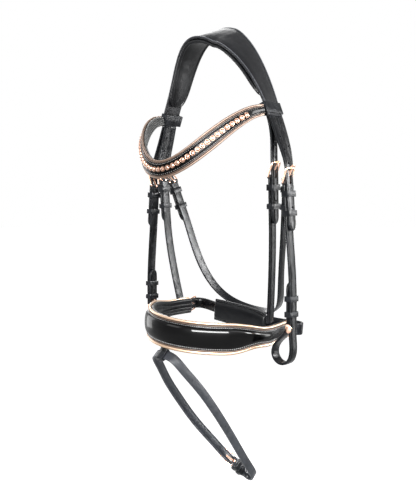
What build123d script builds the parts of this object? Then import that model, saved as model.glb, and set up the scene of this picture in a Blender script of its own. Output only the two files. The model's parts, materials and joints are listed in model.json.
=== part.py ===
from build123d import *
from math import cos, sin, pi, radians, sqrt, atan2, degrees
import os

# A snaffle bridle with a flash noseband, hanging as it does on a rack.
# Millimetres.  +Z up, the horse faces -Y, +X is the horse's near (left) side.
# The origin is the middle of the headpiece's underside, where it lies on the poll.
os.makedirs("parts", exist_ok=True)

# ---- leather and clearances
strap_thick = 3.2          # bridle leather
billet_thick = 3.0         # the ends with holes are skived a little
gap = 0.3                  # between pieces that lie on each other
slide_gap = 0.35           # round a strap inside its keepers
cheek_width = 14.0
hanger_width = 13.0
throat_width = 13.0
flash_width = 12.5
crank_width = 16.0
tip_length = 11.0          # pointed end of a strap
tip_width = 3.0            # what is left of the width at the very tip
bend_weight = 0.35         # millimetres of strap that one degree of bend counts for
hole_diameter = 3.0
hole_pitch = 19.0

# ---- headpiece
crown_width = 46.0         # at the poll
crown_tilt = 38.0          # degrees, the rear edge stands higher
crown_lean = 9.0           # the crown leans to the off side as it hangs
strap_end_width = 30.0     # headpiece width where it passes the browband loops
headpiece_thick = 3.4
padding_thick = 5.0
padding_margin = 2.0       # the padding stands proud of the leather along each edge
padding_stop = 3           # sections of the arch left bare at each end
loop_x = 97.0              # browband loops, from the middle plane
loop_y = -4.0
loop_drop = 112.0          # crown to the middle of the loops
arch_power = 2.2           # how pointed the arch is
split_drop = 10.6          # from the middle of the loop to where the strap is split

# ---- browband
brow_reach = 111.0         # how far its middle stands before the loops
brow_width = 24.0
brow_end_width = 15.0
brow_drop = 79.0           # from its ends to the lowest point of the wave
brow_thick = 2.6
brow_lining_thick = 3.4
brow_patent_thick = 1.2
brow_span_angle = 80.2     # degrees from the middle to each end
piping_radius = 1.5
stone_count = 37
stone_pitch = 7.6
stone_radius = 3.2
stone_height = 2.6
loop_height = 16.0

# ---- buckles
wire_radius = 1.2
buckle_length = 19.0       # heel bar to front bar, along the strap
tongue_width = 2.4
tongue_thick = 1.6
pin_gap = 0.25
eye_wall = 1.6
slot_width = 4.2
tongue_spot = 6.3          # where the tongue comes through, up from the heel bar
tongue_slot = 17.0         # length of that slot
keeper_wall = 1.5
keeper_length = 8.0
runner_length = 7.0
keeper_drop = 14.0         # heel bar to the middle of the fixed keeper
runner_drop = 39.0         # heel bar to the middle of the runner
tail_drop = 62.0           # heel bar to the tip of the strap end

# ---- where the three pairs of side buckles hang
cheek_seat = (124.0, -9.0, -206.0)
cheek_up = (-0.077, 0.0, 1.0)
hanger_seat = (101.5, -11.0, -197.0)
hanger_up = (0.03, -0.06, 1.0)
throat_seat = (107.0, 13.0, -199.0)
throat_up = (0.22, -0.23, 0.95)

# ---- cheekpiece bit end
cheek_low_x = 134.0
bit_loop_radius = 14.0
bit_loop_z = -426.0
bit_tip_z = -334.0
bit_layer = 4.2            # middle of the cheekpiece to the middle of its turned-up end
stud_radius = 4.2
stud_thick = 1.6

# ---- noseband
nose_half_x = 90.0
nose_front = 110.0
nose_mid_y = 1.0
nose_mid_z = -397.5
nose_roll = 5.7            # degrees, it hangs lower on the near side
nose_front_height = 37.0
nose_side_height = 24.5
nose_near_end = 40.0
nose_off_end = 27.0
nose_thick = 3.0
nose_pad_thick = 6.0
nose_piping_radius = 1.7
swell_rise = 4.2
swell_inset = 7.0
swell_end = 2.0
crank_tail = 24.0
crank_ring_length = 10.0   # between the bars of the ring at the near end
crank_ring_turn = 37.0     # degrees, how far the ring stands outward
chin_half_length = 48.0
chin_height = 33.0
chin_thick = 9.0
chin_y = 45.0

# ---- flash strap
flash_start = (0.0, -105.0, -438.0)
flash_slope = 50.8         # degrees below level
flash_length = 250.0
flash_bulge = 32.0
flash_front = -11.0        # where it crosses the front, up from its start
flash_tail = 31.0
flash_loop_width = 13.0
tab_thick = 1.8
hinge_gap = 0.4            # above and below the line on which the flash loop swings


def seat_plane(point, up, out):
    """Across the strap is x, up along it is y, and away from the horse is z."""
    up = Vector(*up).normalized()
    across = up.cross(Vector(*out)).normalized()
    return Plane(origin=Vector(*point), x_dir=across, z_dir=across.cross(up))


def station(path, place, out):
    """A plane across a strap: x across it, y away from the horse."""
    along = path % place
    facing = Vector(*out(place)) if callable(out) else Vector(*out)
    return Plane(origin=path @ place, x_dir=facing.cross(along), z_dir=along)


def ribbon(path, out, draw, count=12, first=0.0, last=1.0):
    """A strap, padding or piping lofted through sections drawn along a path."""
    places = [first + (last - first) * i / count for i in range(count + 1)]
    return loft([station(path, place, out) * draw(place) for place in places])


def rounded_end(width, place, end_share):
    """Width of a strap that narrows to a rounded tip over the last share of it."""
    if place <= 1 - end_share:
        return width
    reach = (place - 1 + end_share) / end_share
    return max(tip_width, width * sqrt(max(0.0, 1 - reach ** 2.4)))


def bend_places(path, count, last):
    """Places along a path that stand closer together where it bends."""
    steps = 240
    reach = [0.0]
    for i in range(steps):
        here, there = i * last / steps, (i + 1) * last / steps
        turn = (path % here).get_angle(path % there)
        reach.append(reach[-1] + (path @ there - path @ here).length + bend_weight * turn)
    places = []
    for i in range(count + 1):
        goal = reach[-1] * i / count
        k = max(1, next(n for n, r in enumerate(reach) if r >= goal - 1e-9))
        share = (goal - reach[k - 1]) / (reach[k] - reach[k - 1])
        places.append((k - 1 + share) * last / steps)
    return places


def tapered(path, out, width, thick, count, taper):
    """A flat strap with a rounded tip at the end of its path."""
    share = taper / path.length
    plain = bend_places(path, count, 1 - share)
    ends = [1 - share + share * k for k in (0.35, 0.62, 0.82, 0.95, 1.0)]
    sections = []
    for place in plain + ends:
        flat = Rectangle(rounded_end(width, place, share), thick)
        sections.append(station(path, place, out) * flat)
    return loft(sections)


def flat_strap(path, out, width, thick, count):
    """A strap whose path lies in one plane: its edge-on outline, drawn out to its width."""
    faces = []
    for lift in (thick / 2, -thick / 2):
        faces.append(Spline(*[path @ p + out(p).normalized() * lift for p in bend_places(path, count, 1)]))
    outline = [faces[0], Line(faces[0] @ 1, faces[1] @ 1), faces[1], Line(faces[1] @ 0, faces[0] @ 0)]
    return extrude(make_face(outline), width / 2, both=True)


# ---- the buckle, its tongue and keepers, each in the frame of its own seat
eye_radius = wire_radius + pin_gap + eye_wall
billet_lift = eye_radius + gap + billet_thick / 2
front_lift = billet_lift + billet_thick / 2 + gap + wire_radius
frame_tilt = degrees(atan2(front_lift, buckle_length))
frame_length = sqrt(front_lift ** 2 + buckle_length ** 2)
tongue_tilt = degrees(atan2(front_lift + wire_radius + gap + tongue_thick / 2, buckle_length))
side_gap = 0.8


def wire_loop(outline):
    """Round wire bent along the edge of an outline."""
    wire = outline.wire()
    section = Plane(origin=wire @ 0, z_dir=wire % 0) * Circle(wire_radius)
    return sweep(section, path=wire)


def buckle_frame(width):
    rail = RectangleRounded(width + 2 * (side_gap + wire_radius), frame_length, 3.0)
    return wire_loop(Plane.XY * Rot(frame_tilt, 0, 0) * Pos(0, frame_length / 2) * rail)


def buckle_tongue():
    ring_radius = wire_radius + pin_gap + 0.9
    length = frame_length + 3.0
    ring = Rot(0, 90, 0) * Cylinder(ring_radius, tongue_width)
    arm = Pos(0, length / 2, 0) * Box(tongue_width, length, tongue_thick)
    tip = fillet(arm.edges().filter_by(Axis.Z).group_by(Axis.Y)[-1], 1.0)
    tongue = Rot(tongue_tilt, 0, 0) * (ring + tip)
    return tongue - Rot(0, 90, 0) * Cylinder(wire_radius + pin_gap, tongue_width * 2)


def eye(width):
    """The turned-back end of a strap round the heel bar."""
    return Rot(0, 90, 0) * Cylinder(eye_radius, width)


def eye_cut(width, tongue=True):
    """The bore for the bar and, in a buckle, the slot in which the tongue turns."""
    bore = Rot(0, 90, 0) * Cylinder(wire_radius + pin_gap, width * 2)
    slot = Pos(0, 0.8, 0) * Box(slot_width, 8.0, 3 * eye_radius)
    return bore + slot if tongue else bore


def billet_slot():
    """The hole that the tongue comes through, long enough for it to lift."""
    slot = SlotOverall(tongue_slot, slot_width, rotation=90)
    return Pos(0, tongue_spot, billet_lift) * extrude(slot, billet_thick, both=True)


def tip_waste(width, drop):
    """What is cut away to round the square end of a strap, at a drop below the heel bar."""
    square = Pos(0, tip_length - drop) * Pos(0, -tip_length) * Rectangle(2 * width, 2 * tip_length)
    rounded = Pos(0, tip_length - drop) * Ellipse(width / 2, tip_length)
    return Pos(0, 0, billet_lift) * extrude(square - rounded, billet_thick, both=True)


def keeper(width, low, high, length, drop):
    """A flat leather loop round the straps, between two heights over the heel bar."""
    inner_width = width + 2 * slide_gap
    inner_high = high - low + 2 * slide_gap
    outer = RectangleRounded(inner_width + 2 * keeper_wall, inner_high + 2 * keeper_wall, 1.4)
    ring = outer - Rectangle(inner_width, inner_high)
    flat = Plane(origin=(0, -drop, (high + low) / 2), x_dir=(1, 0, 0), z_dir=(0, -1, 0)) * ring
    return extrude(flat, length / 2, both=True)


def strap_holes(path, out, spots):
    """Round holes through a strap, at distances back from its tip."""
    places = [1 - spot / path.length for spot in spots]
    return [station(path, p, out) * Rot(90, 0, 0) * Cylinder(hole_diameter / 2, 3 * billet_thick)
            for p in places]


stack_low = -strap_thick / 2
stack_high = billet_lift + billet_thick / 2

made = {}


def both_sides(name, shape):
    """The piece on the near side and its mirror image on the off side."""
    made["near_" + name] = shape
    made["off_" + name] = mirror(shape, about=Plane.YZ)


# ---- headpiece: an arch over the poll, tilted at the crown and upright at the loops
crown_lift = padding_thick + 3 * gap + headpiece_thick / 2


def arch_point(u):
    lean = -crown_lean * (1 - abs(u) ** 1.5) if abs(u) < 1 else 0.0
    lift = crown_lift * cos(radians(crown_tilt))
    ahead = crown_lift * sin(radians(crown_tilt)) * (1 - abs(u))
    return Vector(loop_x * u + lean * abs(sin(pi * u)), loop_y * abs(u) - ahead,
                  lift - loop_drop * abs(u) ** arch_power)


arch_steps = 8
arch_sections = 32
split_share = 1 + split_drop / (2.3 * loop_drop)
arch_places = [split_share * i / arch_steps for i in range(-arch_steps, arch_steps + 1)]
arch = Spline(*[arch_point(u) for u in arch_places])


def arch_out(place):
    """Outward direction of the arch: up and forward at the poll, sideways at the loops."""
    side = 2 * place - 1
    tilt = radians(crown_tilt) * (1 - min(1.0, abs(side) / 0.88) ** 1.6)
    along = arch % place
    rear = Vector(0, cos(tilt), sin(tilt))
    return rear.cross(along) * -1 if rear.cross(along).Z < 0 else rear.cross(along)


def arch_width(place):
    side = abs(2 * place - 1)
    return strap_end_width + (crown_width - strap_end_width) * (1 + cos(pi * side)) / 2


made["headpiece_strap"] = ribbon(
    arch, arch_out, lambda p: Rectangle(arch_width(p), headpiece_thick), arch_sections)

pad_first = padding_stop / arch_sections
pad_drop = headpiece_thick / 2 + 3 * gap + padding_thick / 2
made["headpiece_padding"] = ribbon(
    arch, arch_out,
    lambda p: Pos(0, -pad_drop) * Rectangle(arch_width(p) + 2 * padding_margin, padding_thick),
    arch_sections - 2 * padding_stop, pad_first, 1 - pad_first)

# ---- browband loops round the headpiece, and what passes inside them
loop_spot = arch_point(1.0)
loop_up = (arch_point(0.97) - arch_point(1.03)).normalized()
loop_plane = seat_plane(loop_spot, loop_up, (1, 0, 0))
hanger_layer = headpiece_thick / 2 + 3 * gap + billet_thick / 2
loop_low = -hanger_layer - billet_thick / 2 - 2 * gap
loop_ring = keeper(strap_end_width + 1.0, loop_low, headpiece_thick / 2, loop_height, 0)
both_sides("browband_loop", loop_plane * loop_ring)


def brow_point(angle):
    """Angle in degrees from the middle of the browband."""
    turn = radians(angle)
    rise = (1 - cos(radians(180 * abs(angle) / 85))) / 2
    return Vector(loop_x * sin(turn), loop_y - brow_reach * cos(turn),
                  loop_spot.Z - 3 - brow_drop * (1 - rise))


brow_steps = 10
brow = Spline(*[brow_point(brow_span_angle * i / brow_steps) for i in range(-brow_steps, brow_steps + 1)])


def brow_out(place):
    spot = brow @ place
    return (spot.X / loop_x ** 2, (spot.Y - loop_y) / brow_reach ** 2, 0)


def brow_height(place):
    side = abs(2 * place - 1)
    return brow_width + (brow_end_width - brow_width) * max(0.0, (side - 0.45) / 0.55) ** 1.5


def brow_layer(inner, thick, inset):
    """A layer of the browband: its inner face and thickness, and how far its edges stay in."""
    return ribbon(
        brow, brow_out,
        lambda p: Pos(0, inner + thick / 2) * Rectangle(brow_height(p) - 2 * inset, thick), 28)


edge_inset = 2 * piping_radius + gap
made["browband_band"] = brow_layer(0, brow_thick, edge_inset)
made["browband_lining"] = brow_layer(-2 * gap - brow_lining_thick, brow_lining_thick, piping_radius)
made["browband_patent"] = brow_layer(brow_thick + gap, brow_patent_thick, edge_inset + 0.4)
for name, edge in (("browband_top_piping", 1), ("browband_bottom_piping", -1)):
    made[name] = ribbon(
        brow, brow_out,
        lambda p: Pos(edge * (brow_height(p) / 2 - piping_radius), piping_radius)
        * Circle(piping_radius), 28)

stone_base = brow_thick + brow_patent_thick + 2 * gap
stone_share = stone_pitch / brow.length
stones = []
for i in range(stone_count):
    place = 0.5 + stone_share * (i - (stone_count - 1) / 2)
    flat = station(brow, place, brow_out)
    face = Plane(origin=flat.origin, x_dir=flat.x_dir, z_dir=flat.y_dir)
    girdle = Pos(0, 0, stone_base) * RegularPolygon(stone_radius, 8)
    crown = Pos(0, 0, stone_base + stone_height * 0.4) * RegularPolygon(stone_radius, 8)
    table = Pos(0, 0, stone_base + stone_height) * RegularPolygon(stone_radius * 0.55, 8)
    stones.append(face * (loft([girdle, crown]) + loft([crown, table])))
made["browband_stones"] = Compound(children=stones)


# ---- strap ends from the headpiece, each with holes and the slot for its tongue
def billet(seat, points, width, above):
    """Runs through the given points, lies over the heel bar and ends in a tip."""
    local = [(0, buckle_length + 4, billet_lift - 0.6), (0, 4, billet_lift), (0, -20, billet_lift),
             (0, -tail_drop, billet_lift)]
    path = Spline(*points, *[seat.from_local_coords(Vector(*p)) for p in local])
    strap = tapered(path, lambda p: seat.z_dir, width, billet_thick, 14, tip_length)
    used = tail_drop + tongue_spot
    for step in [-2, -1, *range(1, above + 1)]:
        for cut in strap_holes(path, lambda p: seat.z_dir, [used + hole_pitch * step]):
            strap -= cut
    return strap - (seat * billet_slot())


def side_hardware(seat, width):
    return {
        "buckle": seat * buckle_frame(width),
        "tongue": seat * buckle_tongue(),
        "keeper": seat * keeper(width, stack_low, stack_high, keeper_length, keeper_drop),
        "runner": seat * keeper(width, stack_low, stack_high, runner_length, runner_drop),
    }


split_spot = arch @ 1.0
billet_start = split_spot - loop_up * 0.6
cheek_plane = seat_plane(cheek_seat, cheek_up, (1, 0, 0))
cheek_top = Vector(billet_start.X, cheek_seat[1], billet_start.Z)
cheek_billet = billet(cheek_plane, [cheek_top, cheek_top - loop_up * 40], cheek_width, 3)
both_sides("cheek_billet", cheek_billet)

throat_plane = seat_plane(throat_seat, throat_up, (1, 0, 0))
throat_top_y = cheek_seat[1] + cheek_width / 2 + gap * 2 + throat_width / 2
throat_top = Vector(billet_start.X, throat_top_y, billet_start.Z)
throat_mid = throat_top - loop_up * 30 + Vector(-2.0, 1.5, 0)
throat_billet = billet(throat_plane, [throat_top, throat_mid], throat_width, 2)
throat_round = seat_plane(throat_top - loop_up * (throat_width / 2), loop_up, (1, 0, 0))
half_disc = Box(2 * throat_width, throat_width, 3 * billet_thick, align=(Align.CENTER, Align.MIN, Align.CENTER))
throat_billet -= throat_round * (half_disc - Cylinder(throat_width / 2, 4 * billet_thick))
both_sides("throat_billet", throat_billet)

hanger_plane = seat_plane(hanger_seat, hanger_up, (1, 0, 0))
hanger_top = loop_plane.from_local_coords(Vector(0, loop_height / 2 - 2, -hanger_layer))
hanger_top = Vector(hanger_top.X, hanger_seat[1] + 2, hanger_top.Z)
hanger_mid = hanger_top - loop_up * 15
hanger_billet = billet(hanger_plane, [hanger_top, hanger_mid, hanger_mid + Vector(5.5, 0, -22)],
                       hanger_width, 3)
both_sides("hanger_billet", hanger_billet)


# ---- cheekpieces: down from the buckle, round the bit ring and back up inside
def cheekpiece():
    top = [cheek_plane.from_local_coords(Vector(0, -y, 0)) for y in (1, 35, tail_drop + 8)]
    side = [Vector(cheek_low_x, cheek_seat[1], z) for z in (-345, -380, -405)]
    centre = Vector(cheek_low_x - bit_loop_radius - 0.5, cheek_seat[1], bit_loop_z)
    bend = [centre + Vector(bit_loop_radius * cos(radians(a)), 0, bit_loop_radius * sin(radians(a)))
            for a in (-15, -50, -90, -130, -165, -205)]
    inner_x = cheek_low_x - bit_layer
    back = [Vector(inner_x - 8.5, cheek_seat[1], -404), Vector(inner_x - 1.2, cheek_seat[1], -393),
            Vector(inner_x, cheek_seat[1], -380), Vector(inner_x, cheek_seat[1], -355),
            Vector(inner_x - 0.3, cheek_seat[1], bit_tip_z)]
    path = Spline(*top, *side, *bend, *back)
    strap = tapered(path, lambda p: Vector(0, 1, 0).cross(path % p) * -1, cheek_width, strap_thick,
                    44, tip_length)
    ends = cheek_plane * (eye(cheek_width))
    return strap + ends - (cheek_plane * eye_cut(cheek_width))


both_sides("cheekpiece", cheekpiece())
bit_plane = seat_plane((cheek_low_x, cheek_seat[1], -355), (0, 0, 1), (1, 0, 0))
bit_low = -bit_layer - strap_thick / 2
bit_keepers = [bit_plane * keeper(cheek_width, bit_low, strap_thick / 2, runner_length, drop)
               for drop in (0, 20)]
cheek_parts = side_hardware(cheek_plane, cheek_width)
both_sides("cheek_keepers", Compound(children=[cheek_parts["keeper"], *bit_keepers]))
both_sides("cheek_buckle", cheek_parts["buckle"])
both_sides("cheek_tongue", cheek_parts["tongue"])
both_sides("cheek_runner", cheek_parts["runner"])
stud_spot = (cheek_low_x - bit_layer - strap_thick / 2 - gap, cheek_seat[1], -384)
stud = Plane(origin=stud_spot, z_dir=(-1, 0, 0)) * extrude(Circle(stud_radius), stud_thick)
both_sides("hook_stud", stud)

# ---- throatlash: hangs from its two buckles in a long curve behind the jaw
throat_side = [throat_plane.from_local_coords(Vector(0, -drop, 0)) for drop in (1, 22, 44, 62)]
throat_side += [Vector(86, 34, -290), Vector(70, 51, -345),
                Vector(46, 78, -382), Vector(0, 101, -397)]
throat_points = throat_side + [Vector(-p.X, p.Y, p.Z) for p in reversed(throat_side[:-1])]
throat_path = Spline(*throat_points)
throat_straight = 60 / throat_path.length


def throat_out(place):
    """Flat inside the runners, and turning only between them."""
    turn = pi * min(1.0, max(0.0, (place - throat_straight) / (1 - 2 * throat_straight)))
    return Vector(cos(turn), 0.45 * sin(turn), -0.9 * sin(turn))


throat = ribbon(throat_path, throat_out, lambda p: Rectangle(throat_width, strap_thick), 30)
near_eye, near_cut = throat_plane * eye(throat_width), throat_plane * eye_cut(throat_width)
throat = throat + near_eye + mirror(near_eye, about=Plane.YZ)
made["throatlash"] = throat - near_cut - mirror(near_cut, about=Plane.YZ)
throat_parts = side_hardware(throat_plane, throat_width)
other = {name: mirror(piece, about=Plane.YZ) for name, piece in throat_parts.items()}
made["throat_buckles"] = Compound(children=[throat_parts["buckle"], other["buckle"]])
made["throat_keepers"] = Compound(children=[throat_parts["keeper"], other["keeper"]])
both_sides("throat_tongue", throat_parts["tongue"])
both_sides("throat_runner", throat_parts["runner"])

# ---- noseband, made level and then rolled to the way it hangs
nose_curve = []
for angle in (-90, -72, -54, -36, -18, 0, 18, 36, 54, 72, 90):
    turn = radians(angle)
    nose_curve.append(Vector(nose_half_x * sin(turn), nose_mid_y - nose_front * cos(turn), nose_mid_z))
nose_points = [Vector(-nose_half_x + 0.5, nose_off_end, nose_mid_z)] + nose_curve
nose_points.append(Vector(nose_half_x, (nose_near_end + nose_mid_y) / 2, nose_mid_z))
nose_points.append(Vector(nose_half_x - 1, nose_near_end, nose_mid_z))
nose = Spline(*nose_points)


def nose_out(place):
    along = nose % place
    return Vector(along.Y, -along.X, 0)


def nose_height(place):
    """Deep over the nose, narrower at the sides."""
    rear = (nose @ place).Y
    share = min(1.0, max(0.0, (rear + 66) / 56))
    return nose_front_height + (nose_side_height - nose_front_height) * (1 - cos(pi * share)) / 2


def nose_layer(inner, thick, inset, first=0.0, last=1.0):
    return ribbon(
        nose, nose_out,
        lambda p: Pos(0, inner + thick / 2) * Rectangle(nose_height(p) - 2 * inset, thick),
        30, first, last)


def swell_section(place):
    """A low dome on a flat back."""
    half = nose_height(place) / 2 - swell_inset
    arc = ThreePointArc((-half, nose_thick / 2), (0, swell_rise + nose_thick / 2), (half, nose_thick / 2))
    return Pos(0, gap) * make_face(arc + Line(arc @ 1, arc @ 0))


def place_at(rear, near):
    """Where along the noseband it passes a given Y on one side."""
    low, high = (0.5, 1.0) if near else (0.0, 0.5)
    for _ in range(30):
        mid = (low + high) / 2
        if ((nose @ mid).Y < rear) == near:
            low = mid
        else:
            high = mid
    return (low + high) / 2


half_thick = nose_thick / 2
nose_edge = 2 * nose_piping_radius + 2 * gap
nose_pieces = {
    "noseband_band": nose_layer(-half_thick, nose_thick, nose_edge),
    "noseband_padding": nose_layer(-half_thick - gap - nose_pad_thick, nose_pad_thick, 1.0),
    "noseband_swell": ribbon(nose, nose_out, swell_section, 24,
                             place_at(swell_end, False), place_at(swell_end, True)),
}
for name, edge in (("noseband_top_piping", 1), ("noseband_bottom_piping", -1)):
    nose_pieces[name] = ribbon(
        nose, nose_out,
        lambda p: Pos(edge * (nose_height(p) / 2 - nose_piping_radius), 0)
        * Circle(nose_piping_radius), 30)

# the crank strap closes the ring behind the jaw, over the chin pad
crank_seat = seat_plane((-nose_half_x + 0.5, nose_off_end + 4, nose_mid_z), (0, 1, 0), (-1, 0, 0))
crank_local = [(0, buckle_length + 2, billet_lift - 0.6), (0, 4, billet_lift), (0, -14, billet_lift),
               (0, -crank_tail, billet_lift)]
crank_back = chin_y + chin_thick / 2 + gap + billet_thick / 2
ring_bar = Vector(nose_half_x - 1, nose_near_end + eye_radius, nose_mid_z)
ring_way = Vector(sin(radians(crank_ring_turn)), cos(radians(crank_ring_turn)), 0)
ring_seat = seat_plane(ring_bar, ring_way, (cos(radians(crank_ring_turn)), -sin(radians(crank_ring_turn)), 0))
sewn_bar = ring_bar + ring_way * crank_ring_length
sewn_seat = Plane(origin=sewn_bar, x_dir=ring_seat.x_dir, z_dir=ring_seat.z_dir)
crank_points = [sewn_bar + ring_way * 1, sewn_bar + ring_way * 6,
                Vector(nose_half_x + 8.5, nose_near_end + 22, nose_mid_z),
                Vector(nose_half_x + 1, nose_near_end + 28.5, nose_mid_z),
                Vector(nose_half_x - 12, nose_near_end + 24, nose_mid_z),
                Vector(chin_half_length, crank_back + 1.6, nose_mid_z),
                Vector(0, crank_back + 0.4, nose_mid_z),
                Vector(-chin_half_length, crank_back + 1, nose_mid_z)]
crank_points += [crank_seat.from_local_coords(Vector(*p)) for p in crank_local]
crank_path = Spline(*crank_points)
crank = flat_strap(crank_path, lambda p: (crank_path % p).cross(Vector(0, 0, 1)) * -1,
                   crank_width, billet_thick, 60)
crank = crank - crank_seat * tip_waste(crank_width, crank_tail) - crank_seat * billet_slot()
crank = crank - sewn_seat * eye_cut(crank_width, False)
sewn_eye = eye(crank_width) - eye_cut(crank_width, False)
nose_pieces["crank_strap"] = crank + sewn_seat * sewn_eye
ring = RectangleRounded(crank_width + 2 * (side_gap + wire_radius), crank_ring_length, 2.0)
nose_pieces["crank_ring"] = wire_loop(ring_seat * Pos(0, crank_ring_length / 2) * ring)
nose_pieces["crank_buckle"] = crank_seat * buckle_frame(crank_width)
nose_pieces["crank_tongue"] = crank_seat * buckle_tongue()
chape = Pos(0, -3.5, 0) * Box(crank_width, 7, nose_thick) + eye(crank_width)
nose_pieces["noseband_band"] += crank_seat * (chape - eye_cut(crank_width))
ring_chape_seat = seat_plane(ring_bar, (0, 1, 0), (1, 0, 0))
nose_pieces["noseband_band"] += ring_chape_seat * (chape - eye_cut(crank_width, False))
chin_line = ThreePointArc((chin_half_length, chin_y - 2, nose_mid_z), (0, chin_y, nose_mid_z),
                          (-chin_half_length, chin_y - 2, nose_mid_z))
chin_pad = ribbon(chin_line, (0, 1, 0),
                  lambda p: Rectangle(chin_height * (1 - 0.25 * abs(2 * p - 1) ** 3), chin_thick), 10)
nose_pieces["chin_pad"] = chin_pad
roll = Location((0, nose_mid_y, nose_mid_z), (0, nose_roll, 0)) * Location((0, -nose_mid_y, -nose_mid_z))
for name, piece in nose_pieces.items():
    made[name] = roll * piece


# ---- hangers: from their buckles down to the top edge of the noseband
def hanger(side):
    """The near one ends lower, because the noseband is rolled."""
    drop = nose_side_height / 2 + gap
    inner = nose_half_x - half_thick - gap - hanger_width / 6
    foot = roll * Pos(side * inner, 4, nose_mid_z + drop + 1.2)
    foot = foot.position
    foot = Vector(abs(foot.X), foot.Y, foot.Z)
    top = [hanger_plane.from_local_coords(Vector(0, -y, 0)) for y in (1, 35, tail_drop + 8)]
    path = Spline(*top, foot)
    strap = ribbon(path, lambda p: hanger_plane.z_dir, lambda p: Rectangle(hanger_width, strap_thick), 10)
    strap = strap + (hanger_plane * eye(hanger_width)) - (hanger_plane * eye_cut(hanger_width))
    return strap if side > 0 else mirror(strap, about=Plane.YZ)


made["near_hanger"] = hanger(1)
made["off_hanger"] = hanger(-1)
hanger_parts = side_hardware(hanger_plane, hanger_width)
other = {name: mirror(piece, about=Plane.YZ) for name, piece in hanger_parts.items()}
made["hanger_buckles"] = Compound(children=[hanger_parts["buckle"], other["buckle"]])
made["hanger_keepers"] = Compound(children=[hanger_parts["keeper"], other["keeper"]])
both_sides("hanger_tongue", hanger_parts["tongue"])
both_sides("hanger_runner", hanger_parts["runner"])

# ---- flash strap: a long loop from the front of the noseband, closed by its own buckle
slope = radians(flash_slope)
flash_down = Vector(0, cos(slope), -sin(slope))
flash_facing = Vector(1, 0, 0).cross(flash_down)


def flash_spot(across, down):
    """A point in the plane of the loop: across it, and down its length from the noseband."""
    return Vector(*flash_start) + Vector(across, 0, 0) + flash_down * down


flash_heel = flash_spot(-4, flash_length - 28)
flash_seat = seat_plane(flash_heel, flash_spot(-15.6, flash_length - 58) - flash_heel,
                        Vector(-0.93, 0, 0) + flash_down * 0.36)
near_run = [flash_spot(flash_bulge * 0.70, flash_length - 9), flash_spot(flash_bulge * 0.74, 222),
            flash_spot(flash_bulge * 0.81, 190), flash_spot(flash_bulge * 0.92, 150),
            flash_spot(flash_bulge, 90), flash_spot(flash_bulge - 3, 45), flash_spot(22, 12)]
fold = [flash_spot(4.5, flash_length - 6), flash_spot(10.5, flash_length + 2),
        flash_spot(18, flash_length)]
front = [flash_spot(14, flash_front + 2.2), flash_spot(0, flash_front), flash_spot(-14, flash_front + 2.2)]
off_run = [flash_spot(-22, 12), flash_spot(3 - flash_bulge, 45), flash_spot(-flash_bulge, 90),
           flash_spot(-flash_bulge * 0.94, 140)]
carrier_end = [flash_seat.from_local_coords(Vector(0, -y, 0)) for y in (1, 6, 12)]
buckled = [(0, 34, billet_lift - 2.5), (0, buckle_length + 2, billet_lift - 0.6), (0, 4, billet_lift),
           (0, -14, billet_lift), (0, -flash_tail, billet_lift)]
buckled = [flash_seat.from_local_coords(Vector(*p)) for p in buckled]
flash_path = Spline(*carrier_end, *fold, *near_run, *front, *off_run, *buckled)
flash = flat_strap(flash_path, lambda p: (flash_path % p).cross(flash_facing), flash_width,
                   billet_thick, 70)
flash = flash - flash_seat * tip_waste(flash_width, flash_tail)
flash = flash - (flash_seat * eye_cut(flash_width)) - (flash_seat * billet_slot())
made["flash_strap"] = flash + flash_seat * (eye(flash_width) - eye_cut(flash_width))
made["flash_buckle"] = flash_seat * buckle_frame(flash_width)
made["flash_tongue"] = flash_seat * buckle_tongue()
flash_low = -billet_thick / 2
flash_keepers = [flash_seat * keeper(flash_width, flash_low, stack_high, 6.0, drop) for drop in (9, 18)]
made["flash_keepers"] = Compound(children=flash_keepers)

# the leather loop that carries it: a tab sewn to the noseband, and the loop below it
flash_ring_plane = seat_plane(flash_spot(0, flash_front), (1, 0, 0), flash_down * -1)
flash_ring = flash_ring_plane * keeper(flash_width, flash_low, -flash_low, flash_loop_width, 0)
tab_face = nose_mid_y - nose_front - half_thick - gap
tab_top = nose_mid_z - nose_front_height / 2 + swell_inset - 2 * gap
hinge_z = nose_mid_z - nose_front_height / 2 - 1.0
lug_low = flash_spot(0, flash_front).Z + 3.7


def tab(low, high):
    plate = Pos(0, tab_face - tab_thick / 2, (low + high) / 2) * Box(flash_loop_width, tab_thick, high - low)
    return plate


level = Pos(0, tab_face, hinge_z + hinge_gap - flash_loop_width / 2) * Box(
    2 * flash_loop_width, 4 * tab_thick, flash_loop_width)
made["flash_tab"] = roll * tab(hinge_z - 1, tab_top) - level
made["flash_loop"] = flash_ring + tab(lug_low, hinge_z - hinge_gap)

for name, piece in made.items():
    export_step(piece, "parts/" + name + ".step")
print(len(made), "nodes written")
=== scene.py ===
import bpy
import bmesh
import json
import math
import numpy as np
from mathutils import Matrix, Vector


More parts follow.
